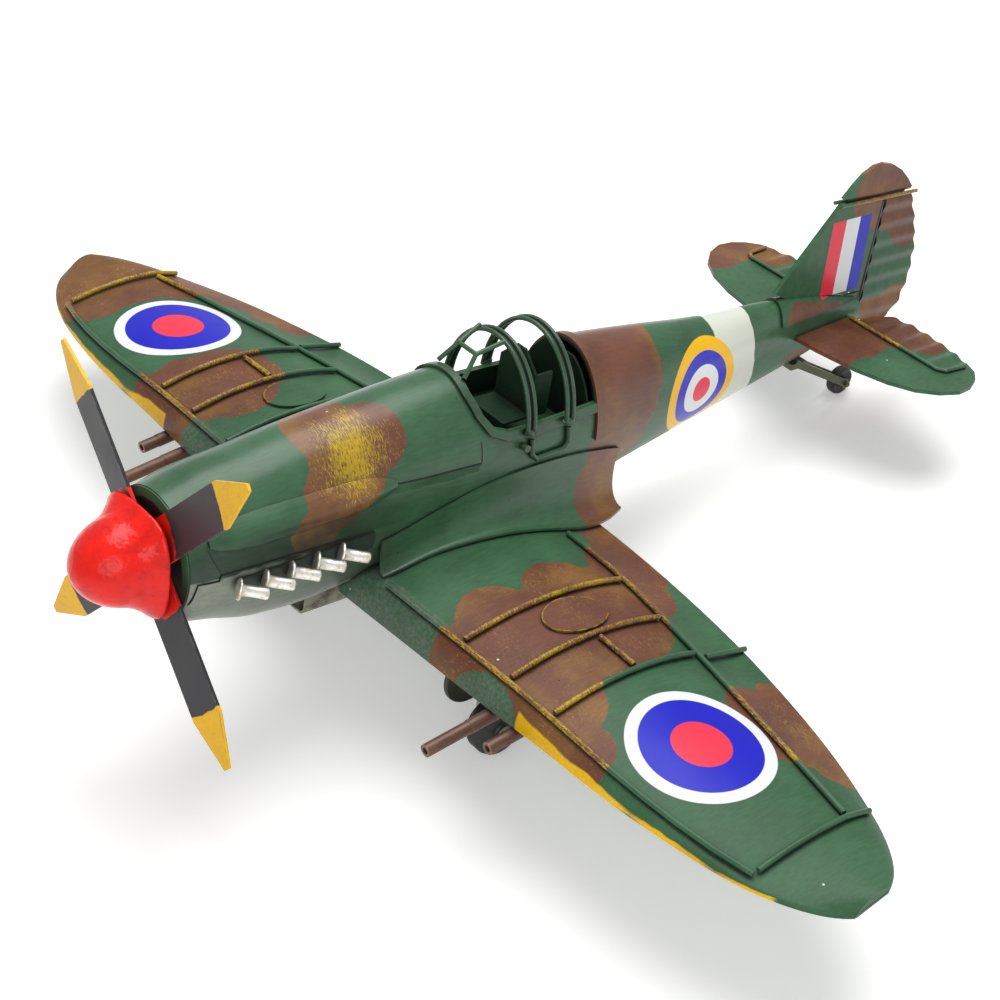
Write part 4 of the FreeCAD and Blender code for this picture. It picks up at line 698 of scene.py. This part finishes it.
def floor_material():
    """Plain pale floor that reads as white to the camera and to gloss, and still takes the shadow."""
    material, w, shader, place = new_material("studio_floor")
    pale = w.blend(w.cloud(place, 0.004, detail=2), FLOOR_WHITE, (0.95, 0.95, 0.945, 1))
    w.feed(shader.inputs["Base Color"], pale)
    shader.inputs["Roughness"].default_value = 0.7
    shader.inputs["Specular IOR Level"].default_value = 0.1
    light = w.tree.nodes.new("ShaderNodeLightPath")
    seen = w.math("MAXIMUM", light.outputs["Is Camera Ray"], light.outputs["Is Glossy Ray"])
    seen = w.math("MAXIMUM", seen, light.outputs["Is Transmission Ray"])
    away = w.vector("LENGTH", w.vector("SUBTRACT", place, MIDDLE_BELOW), out=1)
    glow_share = w.line(w.step(away, *GLOW_FADE), GLOW_FAR, GLOW_NEAR)
    glow = w.node("Emission", {"Color": (1, 1, 1, 1), "Strength": w.times(seen, glow_share)})
    output = next(node for node in w.tree.nodes if node.type == "OUTPUT_MATERIAL")
    w.feed(output.inputs["Surface"], w.node("AddShader", {0: shader.outputs[0], 1: glow}))
    return material


wing_top = camouflage("wing_camouflage", WING_PAINT, (1, 0.12, 1), gold=0.48, gloss=0.38, shine=0.22)
oval_top = camouflage("oval_plate_camouflage", WING_PAINT, (1, 0.12, 1), gold=0.5, gloss=0.38, rim=True,
                      shine=0.22)
wing_raised = camouflage("wing_wire_camouflage", WING_PAINT, (1, 1, 1), gold=0.9, raised=True, shine=0.30)
fuselage = camouflage("fuselage_camouflage", FUSELAGE_PAINT, (1, 0.12, 0.6), gold=0.22, gloss=0.27,
                      shine=0.42)
tail = camouflage("tail_camouflage", TAIL_PAINT, (0.5, 0.3, 0.2), gold=0.35, shine=0.25)
tail_raised = camouflage("tail_wire_camouflage", TAIL_PAINT, (1, 1, 1), gold=0.8, raised=True)
underside = plain_paint("underside_sky_paint", SKY, DIRTY_SKY, gloss=0.38, streaks=(1, 0.1, 1))
wing_bottom = underside_paint()
frame_green = plain_paint("cockpit_frame_green", FRAME_GREEN, DARK_GREEN, gloss=0.28, shade=0.35,
                          worn=(0.15, 0.12, 0.05, 1))
# Cockpit front and rear walls: very dark green as painted shade, with wide-reaching painted seam shade
cockpit_dark = plain_paint("cockpit_inside_green", SHADED_WALL_GREEN, SOOT_AND_SHADE, gloss=0.45, grime=1.0, reach=0.014,
                           shine=0.12)
seat_green = plain_paint("seat_green", SHADED_SEAT_GREEN, SHADED_COCKPIT_GREEN, gloss=0.42, reach=0.008, shine=0.12)
floor_green = plain_paint("cockpit_floor_green", SHADED_FLOOR_GREEN, DARK_GREEN, gloss=0.42, reach=0.008, shine=0.12)
arch_brown = plain_paint("arch_strip_brown", BROWN, (0.19, 0.085, 0.045, 1), gloss=0.32)
cannon_brown = plain_paint("cannon_bronze_paint", BRONZE, (0.17, 0.085, 0.03, 1), patches=0.3, gloss=0.34,
                           shade=0.4, worn=(0.36, 0.24, 0.04, 1))
scoop_drab = plain_paint("scoop_drab_paint", DRAB, (0.06, 0.05, 0.035, 1), patches=0.15, gloss=0.40,
                         reach=0.004)
olive = plain_paint("door_olive_paint", OLIVE, (0.05, 0.052, 0.03, 1), gloss=0.36)
fork_olive = plain_paint("tail_fork_olive", (0.075, 0.085, 0.035, 1), (0.20, 0.20, 0.02, 1), patches=0.2,
                         gloss=0.36)
black = plain_paint("black_paint", BLACK, (0.03, 0.028, 0.026, 1), gloss=0.40, flecks=False)
# Near-black that stands in for shade: on lapped steps, in the hoop gaps and in the rudder's hinge gap
shade_black = plain_paint("painted_shade_black", SOOT_AND_SHADE, (0.02, 0.022, 0.018, 1), gloss=0.45, flecks=False)
ring_paint = nose_ring_material()
soot_plate = plain_paint("sooty_plate", (0.022, 0.036, 0.026, 1), SOOT_AND_SHADE, gloss=0.42)
rubber = plain_paint("tyre_rubber", RUBBER, (0.03, 0.028, 0.026, 1), gloss=0.50, flecks=False, relief=1.6)
red_enamel = spinner_enamel()
blade_paint = blade_material()
steel = bare_metal("bare_steel", STEEL, TARNISH)
aluminium = bare_metal("rivet_aluminium", ALUMINIUM, STAIN, rough=0.34, stain_share=0.55)

# --- Finish of every piece of the frame ---
FINISHES = [
    (("wing_top_sheet",), wing_top),
    (("oval_plates",), oval_top),
    (("rib_wires", "spar_wires"), wing_raised),
    (("wing_bottom_sheet",), wing_bottom),
    (("cowl_shell", "rear_shell", "cowl_blister", "root_fairing"), fuselage),
    (("fin_wires", "elevator_wires"), tail_raised),
    (("fin", "rudder", "tailplane", "elevator", "fin_cap_plate"), tail),
    (("cockpit_coaming", "hoop", "windscreen_frame", "door_outline"), frame_green),
    (("cockpit_floor",), floor_green),
    (("cockpit_front", "cockpit_rear"), cockpit_dark),
    (("seat",), seat_green),
    (("rear_arch_strip",), arch_brown),
    (("cannon",), cannon_brown),
    (("chin_scoop",), scoop_drab),
    (("gear_door",), olive),
    (("gear_leg",), underside),
    (("tail_wheel_fork",), fork_olive),
    (("nose_ring",), ring_paint),
    (("hub",), black),
    (("exhaust_plates",), soot_plate),
    (("exhaust_stubs",), aluminium),
    (("tyre",), rubber),
    (("spinner",), red_enamel),
    (("blade",), blade_paint),
    (("propeller_shaft", "shaft_collar"), steel),
]


def finish_of(node):
    for words, material in FINISHES:
        if any(word in node for word in words):
            return material
    raise KeyError("no finish for %s" % node)


for node_name, node_object in frame["nodes"].items():
    node_object.data.materials.clear()
    node_object.data.materials.append(finish_of(node_name))

# --- Lobed spinner: one soldered and filled bullet that swells over each blade root ---
FIRST_BLADE = math.radians(46.8)
BLADE_COUNT = 4
SPINNER_TIP = -21.9
SPINNER_SHOULDER = -4.0
SPINNER_RIM = -2.4
SPINNER_RADIUS = 13.0
SPINNER_BACK = -1.2
RIM_RADIUS = 15.6
LOBE_REACH = 2.2
LOBE_SHARPNESS = 1.3
RIM_UNEVEN = 0.35
FLARE_LENGTH = 4.2
FLARE_ON_LOBE = 1.5
FLARE_POWER = 1.9
SECTION_STEPS = 30
SECTION_SPACING = 1.25
BULLET_POWERS = (2.15, 0.56)
BACK_RADIUS = 5.0
AROUND = 144


def add_piece(name, mesh, material, body, smooth=True):
    """Turn a bmesh into a piece that rides on a body."""
    bmesh.ops.recalc_face_normals(mesh, faces=mesh.faces)
    data = bpy.data.meshes.new(name)
    mesh.to_mesh(data)
    mesh.free()
    data.materials.append(material)
    for face in data.polygons:
        face.use_smooth = smooth
    piece = bpy.data.objects.new(name, data)
    bpy.context.scene.collection.objects.link(piece)
    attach(piece, body)
    return piece


def turns(count):
    """Evenly spaced angles once around."""
    return [2 * math.pi * number / count for number in range(count)]


def join_rows(mesh, rows):
    """Skin over rows of points that each go once around, with both ends shut; gives back the sides."""
    sides = []
    for here, there in zip(rows, rows[1:]):
        for place in range(len(here)):
            after = (place + 1) % len(here)
            sides.append(mesh.faces.new((here[place], here[after], there[after], there[place])))
    mesh.faces.new(rows[0])
    mesh.faces.new(rows[-1])
    return sides


def spinner_section(angle):
    """Half a section of the spinner at this angle: (radius, station) from its tip to its back."""
    lobe = (0.5 + 0.5 * math.cos(BLADE_COUNT * (angle - FIRST_BLADE))) ** LOBE_SHARPNESS
    lump = RIM_UNEVEN * noise.noise(Vector((math.cos(angle), math.sin(angle), 3.1)) * 2.3)
    reach = RIM_RADIUS + LOBE_REACH * lobe + lump - SPINNER_RADIUS
    flare_start = SPINNER_SHOULDER - FLARE_LENGTH - FLARE_ON_LOBE * lobe
    section = []
    for step in range(1, SECTION_STEPS + 1):
        gone = 1 - math.cos(step / SECTION_STEPS * math.pi / 2) ** SECTION_SPACING
        station = SPINNER_TIP + (SPINNER_RIM - SPINNER_TIP) * gone
        forward = min(max((SPINNER_SHOULDER - station) / (SPINNER_SHOULDER - SPINNER_TIP), 0.0), 1.0)
        bullet = SPINNER_RADIUS * (1 - forward ** BULLET_POWERS[0]) ** BULLET_POWERS[1]
        flare = min(max((station - flare_start) / (SPINNER_RIM - flare_start), 0.0), 1.0)
        section.append((bullet + reach * flare ** FLARE_POWER, station))
    rim = section[-1][0]
    section.append((rim + 0.15, SPINNER_RIM + 0.7))
    section.append((rim - 0.3, SPINNER_BACK - 0.1))
    section.append((rim - 1.4, SPINNER_BACK))
    section.append((BACK_RADIUS, SPINNER_BACK))
    return section


def lobed_spinner():
    mesh = bmesh.new()
    tip = mesh.verts.new(flight(0, SPINNER_TIP, THRUST_LINE))
    back = mesh.verts.new(flight(0, SPINNER_BACK, THRUST_LINE))
    rows = []
    for angle in turns(AROUND):
        rows.append([mesh.verts.new(flight(r * math.cos(angle), y, THRUST_LINE + r * math.sin(angle)))
                     for r, y in spinner_section(angle)])
    for here, there in zip(rows, rows[1:] + rows[:1]):
        mesh.faces.new((tip, there[0], here[0]))
        mesh.faces.new((back, here[-1], there[-1]))
        for place in range(len(here) - 1):
            mesh.faces.new((here[place], there[place], there[place + 1], here[place + 1]))
    piece = add_piece("lobed_spinner", mesh, red_enamel, "propeller")
    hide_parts("spinner_dome", "spinner_flange")


lobed_spinner()

# --- Lapped sheet edges: the upper sheet swells towards its edge and ends in a small step, with black painted shade on the step and along its foot ---
SIDES = (("port", 1), ("starboard", -1))
LAP_RISE = 0.42
LAP_WIDTH = 2.6
LAP_SPACING = 1.2
LAP_SUNK = 0.10
LAP_END_RISE = 0.05
LINE_WIDTH = 0.42
LINE_RISE = 0.03
SHADED_FACES = (1, 2)
LAP_LINES = {
    "upper_cowl_lap": (LAP_RISE, [(65.5, 22.0), (71, 22.9), (80, 23.6), (91, 24.1), (101.1, 24.6)]),
    "upper_cowl_end": (0.10, [(101.2, 24.3), (101.3, 18.5)]),
    "lower_cowl_lap": (LAP_RISE, [(3.6, 44.5), (5.1, 36.0), (11.4, 36.3), (11.8, 34.4), (34.8, 34.6),
                                  (50.0, 35.0), (60.0, 35.6)]),
    "blister_front_lap": (LAP_RISE, [(8.4, 25.5), (9.4, 29.0), (11.8, 34.3)]),
}


def skin_tree(*names):
    """A search tree over the surfaces of these nodes."""
    corners, faces = [], []
    for name in names:
        data = frame["nodes"][name].data
        first = len(corners)
        corners += [vertex.co.copy() for vertex in data.vertices]
        faces += [[first + corner for corner in face.vertices] for face in data.polygons]
    return BVHTree.FromPolygons(corners, faces)


SKIN = skin_tree("cowl_shell", "rear_shell")


def on_skin(along, girth, side):
    """The skin's point at this station and girth, and the way out of it."""
    turn = girth / GIRTH_RADIUS
    reach = 60.0
    start = flight(side * reach * math.sin(turn), along, SPINE_CENTRE + reach * math.cos(turn))
    heading = (flight(0, along, SPINE_CENTRE) - start).normalized()
    hit, normal, _, _ = SKIN.ray_cast(start, heading)
    return hit, (-normal if normal.dot(heading) > 0 else normal)


def spaced(line, spacing):
    """The same line with points no further apart than this."""
    points = []
    for start, end in zip(line, line[1:]):
        steps = max(1, round(math.dist(start, end) / spacing))
        points += [tuple(a + (b - a) * step / steps for a, b in zip(start, end)) for step in range(steps)]
    return points + [line[-1]]


def lapped_edge(name, line, lap_rise, side_name, side):
    mesh = bmesh.new()
    places = [on_skin(along, girth, side) for along, girth in spaced(line, LAP_SPACING)]
    last = len(places) - 1
    rows = []
    for index, (point, out) in enumerate(places):
        before = places[max(index - 1, 0)][0]
        after = places[min(index + 1, last)][0]
        across = out.cross((after - before).normalized()) * -side
        rise = LAP_END_RISE if index in (0, last) else lap_rise
        section = ((LAP_WIDTH, -LAP_SUNK), (0, rise), (-0.05, LINE_RISE), (-LINE_WIDTH, LINE_RISE),
                   (-LINE_WIDTH - 0.05, -LAP_SUNK))
        rows.append([mesh.verts.new(point + (across * sideways + out * height) * MM)
                     for sideways, height in section])
    corners = len(rows[0])
    for number, face in enumerate(join_rows(mesh, rows)):
        # The step face and the line at its foot take the black of painted shade
        face.material_index = 1 if number % corners in SHADED_FACES else 0
    name = "%s_%s" % (side_name, name)
    piece = add_piece(name, mesh, fuselage, "airframe", smooth=False)
    piece.data.materials.append(shade_black)


for side_name, side in SIDES:
    for lap_name, (lap_rise, lap_line) in LAP_LINES.items():
        lapped_edge(lap_name, lap_line, lap_rise, side_name, side)

# --- Exhaust rivets with wide flat heads ---
RIVET_COUNT = 5
RIVET_START = 15.3
RIVET_PITCH = 8.4
RIVET_HEIGHT = -0.4
RIVET_RISE = 0.03
RIVET_WAY = Vector((0.45, 0.86, -0.20)).normalized()
CAD_HEAD_RADIUS = 2.2
RIVET_PROFILE = [(1.5, -0.30), (2.5, -0.18), (2.95, 0.08), (3.0, 0.45), (2.8, 0.72), (1.9, 0.86), (1.62, 1.2),
                 (1.60, 3.5), (1.58, 5.5), (1.60, 7.9), (1.50, 8.35), (1.30, 8.5)]
RIVET_SIDES = 28


def rivets(side_name, side, node):
    mesh = bmesh.new()
    shown = [level(vertex.co) for vertex in frame["nodes"][node].data.vertices]
    axis = Vector((side * RIVET_WAY.x, RIVET_WAY.y, RIVET_WAY.z))
    level_way = axis.cross(Vector((0, 0, 1))).normalized()
    lift = axis.cross(level_way)
    for number in range(RIVET_COUNT):
        behind_first = number * RIVET_PITCH
        head_at = RIVET_START + behind_first
        head_side = max(side * point.x for point in shown if abs(point.y - head_at) < RIVET_PITCH / 2)
        tilt = random.uniform(-0.05, 0.05)
        height = RIVET_HEIGHT + RIVET_RISE * behind_first
        centre = Vector((side * (head_side - CAD_HEAD_RADIUS), head_at, height))
        rows = []
        for radius, along in RIVET_PROFILE:
            row = []
            for angle in turns(RIVET_SIDES):
                spot = Vector((math.cos(angle) * 2, math.sin(angle) * 2, along + 9 * number))
                reach = radius * (1 + 0.10 * noise.noise(spot))
                point = centre + axis * (along + tilt * reach * math.sin(angle))
                point = point + (level_way * math.cos(angle) + lift * math.sin(angle)) * reach
                row.append(mesh.verts.new(flight(*point)))
            rows.append(row)
        join_rows(mesh, rows)
    piece = add_piece("%s_exhaust_rivets" % side_name, mesh, aluminium, "airframe")
    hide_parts(node)


for side_name, side in SIDES:
    rivets(side_name, side, "%s_exhaust_stubs" % side_name)

# --- Cockpit hoops: two wires each, a black strip of painted shade in the gap between them and a blob of solder at each foot ---
MAIN_HOOP = 118.0
REAR_HOOP = 133.0
HOOP_WIRE = 0.72
HOOP_SPREAD = 1.24
HOOP_HALF = 19.4
HOOP_CENTRE = 16.0
HOOP_TOP = 41.2
HOOP_FOOT = 17.6
HOOP_STEPS = 48
WIRE_SIDES = 12
SOLDER_SIZE = (1.0, 2.2, 1.1)
SOLDER_LUMPY = 0.35
GAP_INSET = 0.985
GAP_DROP = 0.35
GAP_HALF_THICK = 0.15


def hoop_path(station):
    """Points of a hoop from its port foot over the top to its starboard foot."""
    first = math.asin((HOOP_FOOT - HOOP_CENTRE) / (HOOP_TOP - HOOP_CENTRE))
    points = []
    for step in range(HOOP_STEPS + 1):
        angle = first + (math.pi - 2 * first) * step / HOOP_STEPS
        points.append(Vector((HOOP_HALF * math.cos(angle), station,
                              HOOP_CENTRE + (HOOP_TOP - HOOP_CENTRE) * math.sin(angle))))
    return points


def wire_along(mesh, points, radius):
    """A round wire along these points of the flight frame."""
    rows = []
    for index, point in enumerate(points):
        ahead = (points[min(index + 1, len(points) - 1)] - points[max(index - 1, 0)]).normalized()
        side_way = ahead.cross(Vector((0, 1, 0))).normalized()
        other = ahead.cross(side_way)
        ring = [point + (side_way * math.cos(turn) + other * math.sin(turn)) * radius
                for turn in turns(WIRE_SIDES)]
        rows.append([mesh.verts.new(flight(*place)) for place in ring])
    join_rows(mesh, rows)


def solder_blob(mesh, place, size):
    """An uneven drop of solder."""
    made = bmesh.ops.create_icosphere(mesh, subdivisions=3, radius=1.0)
    for vertex in made["verts"]:
        lumpy = 1 + SOLDER_LUMPY * noise.noise(vertex.co * 1.7 + Vector(place))
        point = Vector(place) + Vector(a * b for a, b in zip(vertex.co, size)) * lumpy
        vertex.co = flight(*point)


def wire_hoop(node, station):
    mesh = bmesh.new()
    for shift in (-HOOP_SPREAD, HOOP_SPREAD):
        wire_along(mesh, [point + Vector((0, shift, 0)) for point in hoop_path(station)], HOOP_WIRE)
    for way in (-1, 1):
        solder_blob(mesh, (way * (HOOP_HALF - 0.3), station, HOOP_FOOT + 0.4), SOLDER_SIZE)
    piece = add_piece("%s_wires" % node, mesh, frame_green, "airframe")
    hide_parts(node)
    # A black strip of painted shade fills the gap between the two wires
    strip = bmesh.new()
    corners = ((-HOOP_SPREAD, GAP_HALF_THICK), (HOOP_SPREAD, GAP_HALF_THICK),
               (HOOP_SPREAD, -GAP_HALF_THICK), (-HOOP_SPREAD, -GAP_HALF_THICK))
    rows = []
    for point in hoop_path(station):
        x, z = point.x * GAP_INSET, point.z - GAP_DROP
        rows.append([strip.verts.new(flight(x, station + dy, z + dz)) for dy, dz in corners])
    join_rows(strip, rows)
    add_piece("%s_gap_shade_strip" % node, strip, shade_black, "airframe", smooth=False)


# --- Plates that close the cut ends of the wing tips ---
TIP_CUT = 186.35
TIP_OUTER = 186.5
TIP_DEPTH = 0.8
TIP_SHRINK = 0.985
TIP_FEWEST = 6


def wing_tip_plate(side_name, side):
    """A solid plate across the opening at the wing's tip, shaped by the ends of the wing's two sheets."""
    ends = []
    for sheet in ("top", "bottom"):
        node = frame["nodes"]["%s_wing_%s_sheet" % (side_name, sheet)]
        corners = [level(vertex.co) for vertex in node.data.vertices]
        ends += [corner for corner in corners if side * corner.x > TIP_CUT]
    if len(ends) < TIP_FEWEST:
        return
    middle = sum(ends, Vector()) / len(ends)
    mesh = bmesh.new()
    for end in ends:
        pulled = middle + (end - middle) * TIP_SHRINK
        for x in (TIP_OUTER, TIP_OUTER - TIP_DEPTH):
            mesh.verts.new(flight(side * x, pulled.y, pulled.z))
    hull = bmesh.ops.convex_hull(mesh, input=mesh.verts)
    spare = set(hull["geom_interior"] + hull["geom_unused"])
    spare = [part for part in spare if isinstance(part, bmesh.types.BMVert)]
    bmesh.ops.delete(mesh, geom=spare, context="VERTS")
    add_piece("%s_wing_tip_plate" % side_name, mesh, wing_top, "airframe", smooth=False)


for side_name, side in SIDES:
    wing_tip_plate(side_name, side)

# --- Leaves of tin that close the fin to its cap and its foot, and a black leaf of painted shadow in the rudder's hinge gap ---
FIN_FOOT = [(266, 12), (281.2, 11), (281.4, 18.6), (266, 18.6)]
RUDDER_HINGE = [(278.6, 15), (283.0, 15), (284.0, 51), (279.6, 50)]
FIN_CAP = [(263, 51.0), (292.0, 50.0), (291.5, 57.0), (263, 57.5)]


def tin_leaf(name, outline, thickness, material):
    """A flat upright sheet in the plane of symmetry, outlined by (station, height)."""
    mesh = bmesh.new()
    faces = [[mesh.verts.new(flight(side * thickness / 2, *point)) for point in outline] for side in (-1, 1)]
    join_rows(mesh, faces)
    add_piece(name, mesh, material, "airframe", smooth=False)


tin_leaf("fin_foot_leaf", FIN_FOOT, 1.0, tail)
tin_leaf("rudder_hinge_shadow_leaf", RUDDER_HINGE, 0.5, shade_black)
tin_leaf("fin_cap_leaf", FIN_CAP, 0.6, tail)

wire_hoop("main_hoop", MAIN_HOOP)
wire_hoop("rear_hoop", REAR_HOOP)

# --- Studio ---
FLOOR_REACH = 3.0


def studio_floor():
    mesh = bmesh.new()
    bmesh.ops.create_grid(mesh, x_segments=2, y_segments=2, size=FLOOR_REACH)
    data = bpy.data.meshes.new("floor")
    mesh.to_mesh(data)
    mesh.free()
    data.materials.append(floor_material())
    floor = bpy.data.objects.new("floor", data)
    bpy.context.scene.collection.objects.link(floor)


def soft_lamp(name, place, aim, size, power):
    lamp = bpy.data.lights.new(name, "AREA")
    lamp.shape = "DISK"
    lamp.size = size
    lamp.energy = power
    holder = bpy.data.objects.new(name, lamp)
    holder.location = place
    holder.rotation_mode = "QUATERNION"
    holder.rotation_quaternion = (Vector(aim) - Vector(place)).to_track_quat("-Z", "Y")
    bpy.context.scene.collection.objects.link(holder)


WORLD_LIGHT = 0.42
WORLD_IN_GLOSS = 0.55


def studio_world():
    world = bpy.data.worlds.new("studio")
    bpy.context.scene.world = world
    world.use_nodes = True
    w = Wiring(world.node_tree)
    back = world.node_tree.nodes["Background"]
    light = world.node_tree.nodes.new("ShaderNodeLightPath")
    seen = w.math("MAXIMUM", light.outputs["Is Camera Ray"], light.outputs["Is Transmission Ray"])
    w.feed(back.inputs["Color"], (1, 1, 1, 1))
    lit = w.number_blend(light.outputs["Is Glossy Ray"], WORLD_LIGHT, WORLD_IN_GLOSS)
    w.feed(back.inputs["Strength"], w.number_blend(seen, lit, 1.0))


LENS = 82.83
CAMERA_PLACE = (0.42206, -0.36114, 0.47522)
# The camera's right, its up and its back
CAMERA_AXES = ((0.63486, 0.77259, -0.00705), (-0.48571, 0.40619, 0.77401), (0.60086, -0.48797, 0.63313))
OVER_THE_MODEL = (0, 0, 0.03)


def camera():
    lens = bpy.data.cameras.new("camera")
    lens.sensor_width = 36
    lens.lens = LENS
    holder = bpy.data.objects.new("camera", lens)
    holder.matrix_world = Matrix.Translation(CAMERA_PLACE) @ Matrix(CAMERA_AXES).transposed().to_4x4()
    bpy.context.scene.collection.objects.link(holder)
    bpy.context.scene.camera = holder


studio_floor()
studio_world()
soft_lamp("overhead", (-0.15, 0.25, 0.95), OVER_THE_MODEL, 0.9, 9.0)
soft_lamp("front_fill", (0.75, -0.65, 0.55), OVER_THE_MODEL, 0.7, 3.0)
camera()
bpy.context.scene.view_settings.view_transform = "Standard"
